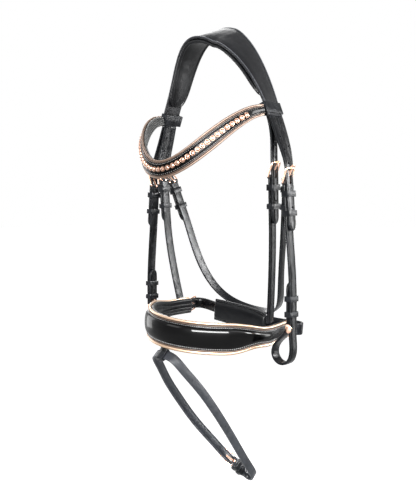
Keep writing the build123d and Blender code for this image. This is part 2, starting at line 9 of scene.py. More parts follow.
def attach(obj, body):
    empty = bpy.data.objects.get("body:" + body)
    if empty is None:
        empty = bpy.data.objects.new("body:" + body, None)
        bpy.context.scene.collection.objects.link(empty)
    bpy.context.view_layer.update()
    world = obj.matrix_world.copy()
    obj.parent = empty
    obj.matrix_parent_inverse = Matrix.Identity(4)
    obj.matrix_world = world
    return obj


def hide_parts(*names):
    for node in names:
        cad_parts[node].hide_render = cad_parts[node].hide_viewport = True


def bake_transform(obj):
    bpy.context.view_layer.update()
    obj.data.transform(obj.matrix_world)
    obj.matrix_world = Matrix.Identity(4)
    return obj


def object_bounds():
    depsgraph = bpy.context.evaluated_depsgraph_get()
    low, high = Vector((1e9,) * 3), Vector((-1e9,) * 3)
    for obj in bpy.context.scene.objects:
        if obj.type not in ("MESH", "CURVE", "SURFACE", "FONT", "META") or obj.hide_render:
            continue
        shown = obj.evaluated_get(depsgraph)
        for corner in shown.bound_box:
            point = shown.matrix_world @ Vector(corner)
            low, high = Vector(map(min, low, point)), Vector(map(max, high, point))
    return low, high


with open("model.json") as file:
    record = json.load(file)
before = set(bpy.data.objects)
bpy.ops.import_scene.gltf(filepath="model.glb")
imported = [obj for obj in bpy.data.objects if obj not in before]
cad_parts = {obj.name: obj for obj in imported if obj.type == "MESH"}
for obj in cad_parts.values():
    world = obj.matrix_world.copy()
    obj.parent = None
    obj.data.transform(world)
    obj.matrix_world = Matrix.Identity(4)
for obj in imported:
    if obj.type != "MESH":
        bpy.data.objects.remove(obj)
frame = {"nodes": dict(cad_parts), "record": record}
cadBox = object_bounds()
nodes = frame["nodes"]
rideOn = {node: body for body, members in frame["record"]["behaviour"]["bodies"].items() for node in members}
mm = 0.001


# Shares of a way, from 0 to 1.
def held(value):
    # never under 0 or over 1
    return min(1.0, max(0.0, value))


def eased(share):
    # starts and ends softly
    return (1 - math.cos(math.pi * share)) / 2


def rounding(share, power=2.0):
    # grows the way a rounded end widens
    return math.sqrt(max(0.0, 1 - (1 - share) ** power))


# Curves in space.
def smoothPath(points, samples=1600):
    # a cubic through every point, measured along its length
    pts = np.array([tuple(p) for p in points], float)
    knots = np.concatenate([[0], np.cumsum(np.linalg.norm(np.diff(pts, axis=0), axis=1))])
    count = len(pts)
    grid, pull = np.zeros((count, count)), np.zeros((count, 3))
    grid[0, 0] = grid[-1, -1] = 1
    for i in range(1, count - 1):
        before, after = knots[i] - knots[i - 1], knots[i + 1] - knots[i]
        grid[i, i - 1:i + 2] = before, 2 * (before + after), after
        pull[i] = 6 * ((pts[i + 1] - pts[i]) / after - (pts[i] - pts[i - 1]) / before)
    bend = np.linalg.solve(grid, pull)
    spots = []
    for t in np.linspace(0, knots[-1], samples):
        i = min(count - 2, max(0, int(np.searchsorted(knots, t, side="right")) - 1))
        span, ahead, back = knots[i + 1] - knots[i], knots[i + 1] - t, t - knots[i]
        spots.append((bend[i] * ahead ** 3 + bend[i + 1] * back ** 3) / (6 * span)
                     + (pts[i] / span - bend[i] * span / 6) * ahead
                     + (pts[i + 1] / span - bend[i + 1] * span / 6) * back)
    spots = np.array(spots)
    reach = np.concatenate([[0], np.cumsum(np.linalg.norm(np.diff(spots, axis=0), axis=1))])
    return {"spots": spots, "reach": reach, "length": float(reach[-1])}


def curve(*points):
    # through points in millimetres
    return smoothPath([Vector(p) * mm for p in points])


def spotAt(path, place):
    goal = held(place) * path["length"]
    return Vector([float(np.interp(goal, path["reach"], path["spots"][:, k])) for k in range(3)])


def alongAt(path, place):
    step = 0.7 * mm / path["length"]
    return (spotAt(path, min(1.0, place + step)) - spotAt(path, max(0.0, place - step))).normalized()


def frameAt(path, place, facing):
    # the spot, across and outwards, the last two square to the path
    along = alongAt(path, place)
    across = Vector(facing(place)).cross(along).normalized()
    return spotAt(path, place), across, along.cross(across).normalized()


def steady(way):
    # a facing that stays the same all along a path
    return lambda place: Vector(way)


def bendPlaces(path, rows, first=0.0, last=1.0, weight=0.3, steps=240):
    # rows stand closer together where the path turns
    shares = [first + (last - first) * i / steps for i in range(steps + 1)]
    ways = [alongAt(path, s) for s in shares]
    reach = [0.0]
    for i in range(steps):
        turn = math.degrees(ways[i].angle(ways[i + 1], 0.0))
        reach.append(reach[-1] + (last - first) * path["length"] / steps / mm + weight * turn)
    return [float(x) for x in np.interp(np.linspace(0, reach[-1], rows + 1), reach, shares)]


# Where the buckles sit, in millimetres.
def seatAt(point, up, out):
    # across the strap, up along it and away from the horse
    up = Vector(up).normalized()
    across = up.cross(Vector(out)).normalized()
    return {"origin": Vector(point), "across": across, "up": up, "out": across.cross(up)}


def onSeat(seat, x, y, z):
    return seat["origin"] + seat["across"] * x + seat["up"] * y + seat["out"] * z


def belowBuckle(seat, *drops):
    return [onSeat(seat, 0, -drop, 0) for drop in drops]


def throughBuckle(seat, *places):
    # each place is a height along the billet and how far it lies below its lift over the bar
    return [onSeat(seat, 0, height, buckle["billetLift"] - dip) for height, dip in places]


buckle = {"heel": 2.7, "length": 19.0, "eyeRadius": 3.05, "billetLift": 4.85, "tongueSpot": 6.3,
          "slotLength": 17.0, "slotWidth": 4.2, "holeRadius": 1.5, "holePitch": 19.0, "tailDrop": 62.0,
          "punchDepth": 9.0}
sides = {"cheek": seatAt((124, -9, -206), (-0.077, 0, 1), (1, 0, 0)),
         "hanger": seatAt((101.5, -11, -197), (0.03, -0.06, 1), (1, 0, 0)),
         "throat": seatAt((107, 13, -199), (0.22, -0.23, 0.95), (1, 0, 0))}


# Meshes.
def newObject(name, data):
    made = bpy.data.objects.new(name, data)
    bpy.context.scene.collection.objects.link(made)
    return made


def newMesh(name, bm):
    mesh = bpy.data.meshes.new(name)
    bm.to_mesh(mesh)
    bm.free()
    return mesh


def newPiece(name, bm, finish, *nodeNames, body=None, slot=None, angle=50, flat=False, bends=False):
    # rides with the CAD piece it stands for or on the body named, unless bends is set, when it rides with none
    mesh = newMesh(name, bm)
    piece = newObject(name, mesh)
    mesh.materials.append(finishes[finish])
    for face in mesh.polygons:
        face.use_smooth = not flat
    if not flat:
        mesh.set_sharp_from_angle(angle=math.radians(angle))
    if not bends:
        body = body or rideOn[nodeNames[0]]
        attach(piece, body)
    slot = slot or slotOf.get(finish, finish)
    if nodeNames:
        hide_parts(*nodeNames)
    return piece


def standing(axes, spot):
    # turns and moves a shape made at the origin to the three axes and the spot given
    turn = Matrix(axes).transposed().to_4x4()
    turn.translation = spot
    return turn


def joinInto(bm, part, turn=None):
    if turn is not None:
        bmesh.ops.transform(part, matrix=turn, verts=part.verts)
        if turn.determinant() < 0:
            bmesh.ops.reverse_faces(part, faces=part.faces)
    mesh = newMesh("part", part)
    bm.from_mesh(mesh)
    bpy.data.meshes.remove(mesh)
    return bm


def mirrorAcross(bm):
    bmesh.ops.transform(bm, matrix=Matrix.Diagonal((-1, 1, 1, 1)), verts=bm.verts)
    bmesh.ops.reverse_faces(bm, faces=bm.faces)
    return bm


def pairOf(make):
    # what is made for the near side, and its mirror image for the off side
    for side in ("near", "off"):
        bm = make(side)
        yield side, mirrorAcross(bm) if side == "off" else bm


def disc(radius, depth, segments, topRadius=None):
    bm = bmesh.new()
    bmesh.ops.create_cone(bm, cap_ends=True, segments=segments, radius1=radius * mm,
                          radius2=(topRadius or radius) * mm, depth=depth * mm)
    return bm


def ball(sizes, around, along):
    bm = bmesh.new()
    bmesh.ops.create_uvsphere(bm, u_segments=around, v_segments=along, radius=1.0)
    return bm, Matrix.Diagonal((*[size * mm for size in sizes], 1))


def roundEdges(bm, offset, sharper=1.0, clamp=False):
    # bevels the edges that turn more than the angle given in radians
    edges = [e for e in bm.edges if len(e.link_faces) == 2 and e.calc_face_angle() > sharper]
    bmesh.ops.bevel(bm, geom=edges, offset=offset * mm, offset_type="OFFSET", segments=2, profile=0.5,
                    affect="EDGES", material=-1, clamp_overlap=clamp)
    return bm


def cadCopy(nodeName):
    bm = bmesh.new()
    bm.from_mesh(nodes[nodeName].data)
    bmesh.ops.remove_doubles(bm, verts=bm.verts, dist=1e-6)
    return bm


def soften(bm, edge, wasCut=False):
    # rounds the sharp edges of a plain CAD piece
    bmesh.ops.dissolve_limit(bm, angle_limit=math.radians(3), verts=bm.verts, edges=bm.edges)
    if wasCut:
        bmesh.ops.recalc_face_normals(bm, faces=bm.faces)
    return roundEdges(bm, edge, sharper=math.radians(40), clamp=True)


def softenedNodes(nodeNames, edge=0.45):
    for nodeName in nodeNames:
        newPiece(nodeName + "_rounded", soften(cadCopy(nodeName), edge), "bridle_leather", nodeName, angle=40)


def sweep(path, facing, section, places, bm=None):
    # a grid laid along the path and closed round each section; UV is metres along and around
    rows, count = len(places) - 1, len(section(places[0]))
    part = bmesh.new()
    bmesh.ops.create_grid(part, x_segments=rows, y_segments=count, size=1.0, calc_uvs=True)
    uvMap = part.loops.layers.uv.verify()
    frames = [frameAt(path, p, facing) for p in places]
    sections = [section(p) for p in places]
    steps = [np.cumsum([0] + [math.dist(s[k], s[(k + 1) % count]) for k in range(count)]) for s in sections]

    def cellOf(vert):
        return round((vert.co.x + 1) / 2 * rows), round((vert.co.y + 1) / 2 * count)

    for face in part.faces:
        for loop in face.loops:
            row, k = cellOf(loop.vert)
            loop[uvMap].uv = (places[row] * path["length"], steps[row][k])
    for vert in part.verts:
        row, k = cellOf(vert)
        spot, across, outward = frames[row]
        side, rise = sections[row][k % count]
        vert.co = spot + across * side + outward * rise
    bmesh.ops.remove_doubles(part, verts=part.verts, dist=1e-6)
    bmesh.ops.holes_fill(part, edges=[edge for edge in part.edges if edge.is_boundary], sides=0)
    bmesh.ops.recalc_face_normals(part, faces=part.faces)
    return joinInto(bmesh.new() if bm is None else bm, part)


def arc(x, y, radius, first, turned, steps):
    turns = [math.radians(first + turned * k / steps) for k in range(steps + 1)]
    return [(x + radius * math.cos(t), y + radius * math.sin(t)) for t in turns]


def strapSection(width, thick, corner=0.8 * mm, crease=1.9 * mm, depth=0.28 * mm, crown=0.32 * mm, lift=0.0):
    # a rectangle with rounded edges, a creased line inside each edge of its face and a slight crown
    half, top = width / 2, thick / 2
    corner = min(corner, half * 0.9, top * 0.9)
    inner = max(0.0, half - crease)
    if inner > 1.2 * mm:
        face = [(inner + 0.5 * mm, top), (inner, top - depth), (inner - 0.6 * mm, top + 0.2 * crown),
                (inner * 0.5, top + 0.8 * crown), (0, top + crown), (-inner * 0.5, top + 0.8 * crown),
                (0.6 * mm - inner, top + 0.2 * crown), (-inner, top - depth), (-inner - 0.5 * mm, top)]
    else:
        face = [(half * 0.5 * s, top) for s in (1, 0.75, 0.5, 0.25, 0, -0.25, -0.5, -0.75, -1)]
    right, upper = half - corner, top - corner
    spots = (arc(right, upper, corner, 0, 90, 3) + face + arc(-right, upper, corner, 90, 90, 3)
             + arc(-right, -upper, corner, 180, 90, 3) + arc(right, -upper, corner, 270, 90, 3))
    return [(x, y + lift) for x, y in spots]


def roundSection(radius, side, lift, count):
    turns = [2 * math.pi * k / count for k in range(count)]
    return [(side + radius * math.cos(t), lift + radius * math.sin(t)) for t in turns]


def padSection(width, thick, lift, bead=2.3, groove=0.9, channels=0, crown=0.8):
    # a stuffed section: a rolled bead along each edge, a sewn groove inside it and lobes between channels;
    # the padded face looks down, towards the horse
    half, deep = width / 2, thick / 2
    bead = min(bead, deep * 0.98)
    spots = arc(half - bead, 0, bead, 75, -190, 8)
    inner = half - 2 * bead - 0.4
    lobes = channels + 1
    spots.append((half - 2 * bead, -deep + groove + 0.5))
    for lobe in range(lobes):
        for k in range(1, 8):
            t = k / 8
            x = inner - 2 * inner * (lobe + t) / lobes
            spots.append((x, -deep - crown * math.sin(math.pi * t) + groove * (1 - math.sin(math.pi * t) ** 0.5)))
        if lobe < lobes - 1:
            spots.append((inner - 2 * inner * (lobe + 1) / lobes, -deep + groove))
    spots.append((2 * bead - half, -deep + groove + 0.5))
    spots += arc(bead - half, 0, bead, -65, -190, 8)
    spots += [(half * s, deep * 0.9) for s in (-0.6, -0.2, 0.2, 0.6)]
    return [(x * mm, (y + lift) * mm) for x, y in reversed(spots)]


def edgeCord(path, facing, height, places, side, radius, inset, lift, corners, bm=None):
    # a cord along one edge of a band, inset from it, in millimetres
    return sweep(path, facing, lambda p: roundSection(
        radius * mm, side * (height(p) / 2 - inset) * mm, lift * mm, corners), places, bm)


def makePipings(band, path, facing, height, places, finish, body, piping, inner, make=newPiece):
    # a piping along each edge and a thinner cord inside it: radius, inset, lift and corners of each
    for edge, side in (("top", 1), ("bottom", -1)):
        nodeName = "%s_%s_piping" % (band, edge)
        make(nodeName + "_cord", edgeCord(path, facing, height, places, side, *piping), finish, nodeName)
        make(nodeName + "_inner_cord", edgeCord(path, facing, height, places, side, *inner), "brown_piping",
             body=body)


def stitchRow(bm, path, facing, away, rise, pitch, size, first=0.0, last=1.0):
    # one capsule of thread a stitch, all in millimetres; away is a distance or gives it for a place
    count = max(1, int((last - first) * path["length"] / (pitch * mm)))
    length, radius = size[0] * mm, size[1] * mm
    for i in range(count):
        p = first + (last - first) * (i + 0.5) / count
        spot, across, outward = frameAt(path, p, facing)
        side = away(p) if callable(away) else away
        turn = standing((across * radius, alongAt(path, p) * length / 2, outward * radius),
                        spot + across * (side * mm) + outward * (rise * mm))
        bmesh.ops.create_uvsphere(bm, u_segments=6, v_segments=4, radius=1.0,
                                  matrix=turn @ Matrix.Rotation(math.pi / 2, 4, "X"))


def strap(path, facing, settings, bm=None):
    # settings: width, thick, rows, tip and what strapSection takes, all in millimetres
    width, tip, least = settings["width"], settings.get("tip", 0) * mm, 2.6 * mm
    look = {key: settings[key] * mm for key in ("corner", "crease", "depth", "crown", "lift") if key in settings}

    def section(p):
        across, left = width * mm, (1 - p) * path["length"]
        if left < tip:
            across = max(least, across * rounding(left / tip, 2.4))
        return strapSection(across, settings["thick"] * mm, **look)

    if not tip:
        return sweep(path, facing, section, bendPlaces(path, settings["rows"]), bm)
    # more rows round the tip
    share = tip / path["length"]
    places = bendPlaces(path, settings["rows"], 0.0, 1 - share)
    places += [1 - share + share * k for k in (0.2, 0.38, 0.54, 0.68, 0.8, 0.89, 0.95, 1.0)]
    return sweep(path, facing, section, places, bm)


def foldRound(bm, seat, width, slotWidth=buckle["slotWidth"]):
    # the turned-back end round the bar, open in the middle for the tongue
    half = (width - slotWidth) / 2
    for side in (-1, 1):
        joinInto(bm, roundEdges(disc(buckle["eyeRadius"], half, 24), 0.5),
                 standing((seat["up"], seat["out"], seat["across"]),
                          onSeat(seat, side * (slotWidth + half) / 2, 0, 0) * mm))
    return bm


def tongueSlot(seat):
    # where the tongue comes up through a billet, as cutWith takes it
    return (onSeat(seat, 0, buckle["tongueSpot"], buckle["billetLift"]), seat["out"], buckle["slotWidth"] / 2,
            buckle["slotLength"] - buckle["slotWidth"], seat["up"])


def cutWith(bm, spots):
    # takes punched shapes out of a mesh; each is its centre in millimetres, direction, radius,
    # how much longer it is than round, and the direction of its length
    punches = bmesh.new()
    for centre, way, radius, longer, along in spots:
        part = disc(radius, buckle["punchDepth"], 16)
        for vert in part.verts:
            vert.co.y += math.copysign(longer / 2 * mm, vert.co.y) if abs(vert.co.y) > 1e-7 else 0
        way = Vector(way).normalized()
        along = (Vector(along) - way * way.dot(Vector(along))).normalized()
        joinInto(punches, part, standing((along.cross(way), along, way), Vector(centre) * mm))
    work = [bpy.data.meshes.new("strapWork"), newMesh("punchWork", punches)]
    bm.to_mesh(work[0])
    shapes = [newObject(mesh.name, mesh) for mesh in work]
    cut = shapes[0].modifiers.new("cut", "BOOLEAN")
    cut.operation, cut.solver, cut.object = "DIFFERENCE", "EXACT", shapes[1]
    bpy.context.view_layer.update()
    done = bpy.data.meshes.new_from_object(shapes[0].evaluated_get(bpy.context.evaluated_depsgraph_get()))
    bm.clear()
    bm.from_mesh(done)
    for shape in shapes:
        bpy.data.objects.remove(shape)
    for mesh in work + [done]:
        bpy.data.meshes.remove(mesh)
    return bm


# Shader groups.
def newGroup(name, inputs, outputs):
    group = bpy.data.node_groups.new(name, "ShaderNodeTree")
    for label, value in inputs.items():
        group.interface.new_socket(label, in_out="INPUT", socket_type="NodeSocketFloat").default_value = value
    for label in outputs:
        group.interface.new_socket(label, in_out="OUTPUT", socket_type="NodeSocketFloat")
    return group, group.nodes.new("NodeGroupInput"), group.nodes.new("NodeGroupOutput")


def setValues(node, **values):
    # sets plain properties or, where the name is a socket's, that socket
    for key, value in values.items():
        if hasattr(node, key):
            setattr(node, key, value)
        else:
            node.inputs[key.replace("_", " ")].default_value = value


def addNode(tree, kind, links=(), **values):
    node = tree.nodes.new(kind)
    setValues(node, **values)
    for source, target in links:
        tree.links.new(source, node.inputs[target])
    return node


def coordsOf(tree):
    return addNode(tree, "ShaderNodeTexCoord").outputs["Object"]


def noise(tree, coords, **values):
    return addNode(tree, "ShaderNodeTexNoise", [(coords, "Vector")], **values).outputs["Fac"]


def mathNode(tree, operation, first, second):
    return addNode(tree, "ShaderNodeMath", [(first, 0), (second, 1)], operation=operation).outputs[0]


def ramp(tree, source, stops):
    node = addNode(tree, "ShaderNodeValToRGB", [(source, "Fac")])
    for mark, (at, grey) in zip(node.color_ramp.elements, stops):
        mark.position, mark.color = at, (grey, grey, grey, 1)
    return node.outputs["Color"]


def makeGrainGroup():
    # hide grain: small cells, pores and a slow unevenness of tone
    group, given, result = newGroup("hideGrain", {"Cells": 1400.0, "Wrinkle": 0.3}, ["Height", "Tone"])
    coords = coordsOf(group)
    cells = addNode(group, "ShaderNodeTexVoronoi", [(coords, "Vector"), (given.outputs["Cells"], "Scale")],
                    feature="DISTANCE_TO_EDGE")
    walls = ramp(group, cells.outputs["Distance"], [(0.0, 0.0), (0.35, 1.0)])
    creases = noise(group, coords, Scale=260.0, Detail=5.0, Roughness=0.6)
    mixed = addNode(group, "ShaderNodeMix",
                    [(given.outputs["Wrinkle"], "Factor"), (walls, "A"), (creases, "B")])
    group.links.new(mixed.outputs["Result"], result.inputs["Height"])
    group.links.new(noise(group, coords, Scale=28.0, Detail=3.0), result.inputs["Tone"])
    return group


def makeEdgeGroup():
    # paler edges found from the shape itself: partly wear, partly a painted highlight along the edges
    group, given, result = newGroup("wornAndHighlitEdges", {"Reach": 1.0}, ["Mask"])
    sharp = ramp(group, addNode(group, "ShaderNodeNewGeometry").outputs["Pointiness"], [(0.50, 0.0), (0.58, 1.0)])
    uneven = ramp(group, noise(group, coordsOf(group), Scale=90.0, Detail=4.0), [(0.3, 0.25), (0.7, 1.0)])
    mask = mathNode(group, "MULTIPLY", mathNode(group, "MULTIPLY", sharp, uneven), given.outputs["Reach"])
    group.links.new(mask, result.inputs["Mask"])
    return group


grainGroup, edgeGroup = makeGrainGroup(), makeEdgeGroup()


def placeGroup(tree, group, **values):
    node = addNode(tree, "ShaderNodeGroup")
    node.node_tree = group
    for key, value in values.items():
        node.inputs[key].default_value = value
    return node.outputs


# Finishes.
def newMaterial(name):
    material = bpy.data.materials.new(name)
    material.use_nodes = True
    return material, material.node_tree, material.node_tree.nodes["Principled BSDF"]


def mixColour(tree, factor, first, second):
    # first may also be a socket
    node = addNode(tree, "ShaderNodeMix", [(factor, "Factor")], data_type="RGBA")
    node.inputs["B"].default_value = (*second, 1)
    if isinstance(first, tuple):
        node.inputs["A"].default_value = (*first, 1)
    else:
        tree.links.new(first, node.inputs["A"])
    return node.outputs["Result"]


def glossFrom(tree, source, low, high):
    return addNode(tree, "ShaderNodeMapRange", [(source, "Value")],
                   From_Min=0.3, From_Max=0.7, To_Min=low, To_Max=high).outputs["Result"]


def dress(tree, skin, colour, rough, bump, **values):
    for source, label in ((colour, "Base Color"), (rough, "Roughness"), (bump.outputs["Normal"], "Normal")):
        tree.links.new(source, skin.inputs[label])
    setValues(skin, **values)


def leather(name, dark, light, edge, rough, cells, depth, wrinkle=0.3, edgeWearAndHighlight=0.6, coat=0.0,
            spec=0.5, coatRough=0.12, wave=0.0008):
    material, tree, skin = newMaterial(name)
    grain = placeGroup(tree, grainGroup, Cells=cells, Wrinkle=wrinkle)
    wornAndHighlit = placeGroup(tree, edgeGroup, Reach=edgeWearAndHighlight)
    slack = noise(tree, coordsOf(tree), Scale=70.0, Detail=1.0)
    waves = addNode(tree, "ShaderNodeBump", [(slack, "Height")], Strength=1.0, Distance=wave)
    bump = addNode(tree, "ShaderNodeBump", [(grain["Height"], "Height"), (waves.outputs["Normal"], "Normal")],
                   Strength=0.6, Distance=depth)
    # the paler edge colour is mixed in at sharp edges, partly wear and partly a painted highlight
    dress(tree, skin, mixColour(tree, wornAndHighlit["Mask"], mixColour(tree, grain["Tone"], dark, light), edge),
          glossFrom(tree, grain["Tone"], rough - 0.05, rough + 0.07), bump,
          Specular_IOR_Level=spec, Coat_Weight=coat, Coat_Roughness=coatRough)
    return material


def metal(name, color, rough, scratch, metallic=1.0, coat=0.0):
    material, tree, skin = newMaterial(name)
    coords = coordsOf(tree)
    smear = noise(tree, coords, Scale=180.0, Detail=5.0)
    fine = noise(tree, coords, Scale=900.0, Detail=3.0)
    dark, light = tuple(c * 0.88 for c in color), tuple(min(1.0, c * 1.06) for c in color)
    dress(tree, skin, mixColour(tree, smear, dark, light), glossFrom(tree, smear, rough, rough + 0.12),
          addNode(tree, "ShaderNodeBump", [(fine, "Height")], Strength=0.5, Distance=scratch),
          Metallic=metallic, Coat_Weight=coat, Coat_Roughness=0.1)
    return material


patentTones = ((0.0015, 0.0015, 0.0018), (0.003, 0.003, 0.0035), (0.008, 0.008, 0.009))
finishes = {
    "bridle_leather": leather("bridleLeather", (0.002, 0.0023, 0.003), (0.006, 0.0067, 0.009),
                              (0.10, 0.108, 0.125), 0.22, 1500.0, 0.00006, edgeWearAndHighlight=0.85, spec=0.08),
    "crown_leather": leather("crownLeather", (0.007, 0.0073, 0.009), (0.014, 0.0145, 0.0175),
                             (0.10, 0.105, 0.12), 0.40, 1500.0, 0.00002, edgeWearAndHighlight=0.8, spec=0.14),
    # pale leather for the headpiece's edge welts, a painted highlight along its edges
    "welt_highlight_leather": leather("weltPaintedHighlight", (0.07, 0.074, 0.088), (0.15, 0.158, 0.185),
                            (0.24, 0.25, 0.28), 0.30, 1500.0, 0.00005, edgeWearAndHighlight=0.8, spec=0.25),
    # the flash strap's leather is painted a lighter blue-grey that stands in for its sheen
    "flash_painted_sheen_leather": leather("flashPaintedSheen", (0.030, 0.034, 0.043), (0.062, 0.070, 0.088),
                             (0.20, 0.21, 0.24), 0.27, 1500.0, 0.00008, edgeWearAndHighlight=0.9, spec=0.16),
    "soft_leather": leather("softLeather", (0.007, 0.0075, 0.009), (0.018, 0.0195, 0.022),
                            (0.045, 0.047, 0.052), 0.31, 900.0, 0.00014, wrinkle=0.55, edgeWearAndHighlight=0.5, spec=0.12),
    "lining": leather("liningLeather", (0.09, 0.093, 0.09), (0.20, 0.205, 0.20),
                      (0.30, 0.30, 0.29), 0.50, 800.0, 0.0002, wrinkle=0.5, edgeWearAndHighlight=0.4, spec=0.3),
    "patent_leather": leather("patentLeather", *patentTones, 0.35, 700.0, 0.000012, edgeWearAndHighlight=0.1, coat=0.20, spec=0.02,
                              coatRough=0.03, wave=0.0002),
    "brow_patent": leather("browPatent", *patentTones, 0.30, 700.0, 0.000012, edgeWearAndHighlight=0.1, coat=0.05, spec=0.02,
                           coatRough=0.08, wave=0.0004),
    "metallic_piping": metal("metallicPiping", (0.62, 0.43, 0.29), 0.36, 0.00006, metallic=0.35, coat=0.1),
    # the browband's piping, a darker copy of the noseband's piping that paints shade
    "brow_piping": metal("browPipingPaintedShade", (0.20, 0.125, 0.085), 0.45, 0.00006, metallic=0.3),
    "brown_piping": metal("brownPiping", (0.13, 0.075, 0.05), 0.45, 0.00006, metallic=0.2),
    "rose_gold": metal("roseGold", (0.78, 0.50, 0.37), 0.18, 0.000015),
    # the stone settings, a darker copy of the rose gold that paints shade
    "setting_gold_painted_shade": metal("settingGoldPaintedShade", (0.34, 0.20, 0.14), 0.30, 0.000015, metallic=0.6),
    "stone": metal("crystal", (0.46, 0.27, 0.19), 0.16, 0.000005, metallic=0.35, coat=0.25)}
# the white thread's colour partly stands in for glints on the stitches, a painted highlight
for threadKey, threadName, threadTones in (
        ("thread", "whiteThreadPaintedGlint", ((0.55, 0.55, 0.55), (0.80, 0.80, 0.79), (0.85, 0.85, 0.84))),
        ("grey_thread", "greyThread", ((0.12, 0.122, 0.126), (0.22, 0.224, 0.23), (0.3, 0.3, 0.31))),
        ("dark_thread", "darkThread", ((0.03, 0.031, 0.034), (0.06, 0.062, 0.066), (0.1, 0.1, 0.105)))):
    finishes[threadKey] = leather(threadName, *threadTones, 0.6, 3000.0, 0.0001, edgeWearAndHighlight=0.2)
# the slot of each finish that has none of its own
slotOf = {"crown_leather": "bridle_leather", "welt_highlight_leather": "bridle_leather", "flash_painted_sheen_leather": "bridle_leather",
          "dark_thread": "bridle_leather", "lining": "soft_leather", "grey_thread": "soft_leather",
          "brow_patent": "patent_leather", "brow_piping": "metallic_piping", "brown_piping": "metallic_piping",
          "setting_gold_painted_shade": "rose_gold"}
print("finishes made")

slots = {entry["node"]: entry["material_slot"] for entry in frame["record"]["subparts"]}
for nodeName, shape in nodes.items():
    shape.data.materials.clear()
    shape.data.materials.append(finishes[slots[nodeName]])

# The headpiece, with its off shoulder fuller and flatter from fullFrom to fullTo.
headpiece = {"loopX": 97.0, "loopY": -4.0, "loopDrop": 112.0, "lean": 9.0, "tilt": 38.0, "power": 2.2,
             "lift": 7.6, "wideCrown": 46.0, "wideEnd": 30.0, "thick": 3.4, "split": 1 + 10.6 / (2.3 * 112.0),
             "crown": 1.5, "fullOut": 5.0, "fullUp": 6.0, "untwist": 0.72, "fullFrom": 0.12, "fullTo": -0.85,
             "tiltEnd": 0.88, "tiltPower": 1.6,
             "welt": 0.8, "weltInset": 1.4, "stitchInset": 3.9, "stitchPitch": 3.0, "stitch": (2.0, 0.24),
             "padThick": 5.0, "padWider": 4.0, "padDrop": 5.1, "padStart": 3 / 32, "padEnd": 30.0}


def offShoulder(u):
    first, last = headpiece["fullFrom"], headpiece["fullTo"]
    share = held((first - u) / (first - last))
    return max(0.0, math.sin(math.pi * share ** 0.8)) ** 1.5


def archPoint(u):
    s = headpiece
    lean = -s["lean"] * (1 - abs(u) ** 1.5) if abs(u) < 1 else 0.0
    ahead = s["lift"] * math.sin(math.radians(s["tilt"])) * (1 - abs(u))
    full = offShoulder(u)
    return Vector((s["loopX"] * u + lean * abs(math.sin(math.pi * u)) - s["fullOut"] * full,
                   s["loopY"] * abs(u) - ahead,
                   s["lift"] * math.cos(math.radians(s["tilt"])) - s["loopDrop"] * abs(u) ** s["power"]
                   + s["fullUp"] * full))


arch = curve(*[archPoint(headpiece["split"] * i / 8) for i in range(-8, 9)])


def archFacing(place):
    s, side = headpiece, 2 * place - 1
    tilt = math.radians(s["tilt"]) * (1 - min(1.0, abs(side) / s["tiltEnd"]) ** s["tiltPower"])
    tilt *= 1 - s["untwist"] * offShoulder(side)
    out = Vector((0, math.cos(tilt), math.sin(tilt))).cross(alongAt(arch, place))
    return -out if out.z < 0 else out


def archWidth(place):
    s = headpiece
    return s["wideEnd"] + (s["wideCrown"] - s["wideEnd"]) * (1 + math.cos(math.pi * abs(2 * place - 1))) / 2


def crowned(section, wide, height, above):
    # lifts the face of a section towards its middle
    return [(x, y + (height * max(0.0, 1 - (2 * x / wide) ** 2) if y > above else 0)) for x, y in section]


def makeHeadpiece():
    s = headpiece
    places = bendPlaces(arch, 90)

    def topSection(p):
        wide = archWidth(p) * mm
        section = strapSection(wide, s["thick"] * mm, corner=1.3 * mm, crease=2.6 * mm, depth=0.3 * mm, crown=0)
        return crowned(section, wide, s["crown"] * max(0.0, 1 - abs(2 * p - 1) ** 3) * mm, 0)

    newPiece("headpiece_leather", sweep(arch, archFacing, topSection, places), "crown_leather", "headpiece_strap")
    # the welts are pale so that they paint the highlight along the headpiece's edges
    welts, stitches = bmesh.new(), bmesh.new()
    for side in (-1, 1):
        edgeCord(arch, archFacing, archWidth, places, side, s["welt"], s["weltInset"], s["thick"] / 2 + 0.1, 10,
                 welts)
        stitchRow(stitches, arch, archFacing, lambda p: side * (archWidth(p) / 2 - s["stitchInset"]),
                  s["thick"] / 2 + 0.12, s["stitchPitch"], s["stitch"], 0.06, 0.94)
    newPiece("headpiece_welts_painted_highlight", welts, "welt_highlight_leather", body="headpiece")
    newPiece("headpiece_stitches", stitches, "dark_thread", body="headpiece")
    first = s["padStart"]

    def underSection(p):
        end = min(p - first, 1 - first - p) * arch["length"] / (s["padEnd"] * mm)
        full = rounding(min(1.0, end), 2.2)
        return padSection((archWidth(p) + s["padWider"]) * (0.42 + 0.58 * full), s["padThick"] * (0.62 + 0.38 * full),
                          -s["padDrop"] + 0.9 * (1 - full), bead=2.3 * (0.6 + 0.4 * full))

    rows = [first + (1 - 2 * first) * t for t in (0, 0.004, 0.01, 0.018, 0.028, 0.04)]
    rows += bendPlaces(arch, 70, rows[-1] + 0.01, 1 - rows[-1] - 0.01) + [1 - r for r in reversed(rows)]
    pad = newPiece("headpiece_padding_stuffed", sweep(arch, archFacing, underSection, rows), "soft_leather",
                   "headpiece_padding")


makeHeadpiece()
softenedNodes(["near_browband_loop", "off_browband_loop"], 0.6)
print("headpiece made")

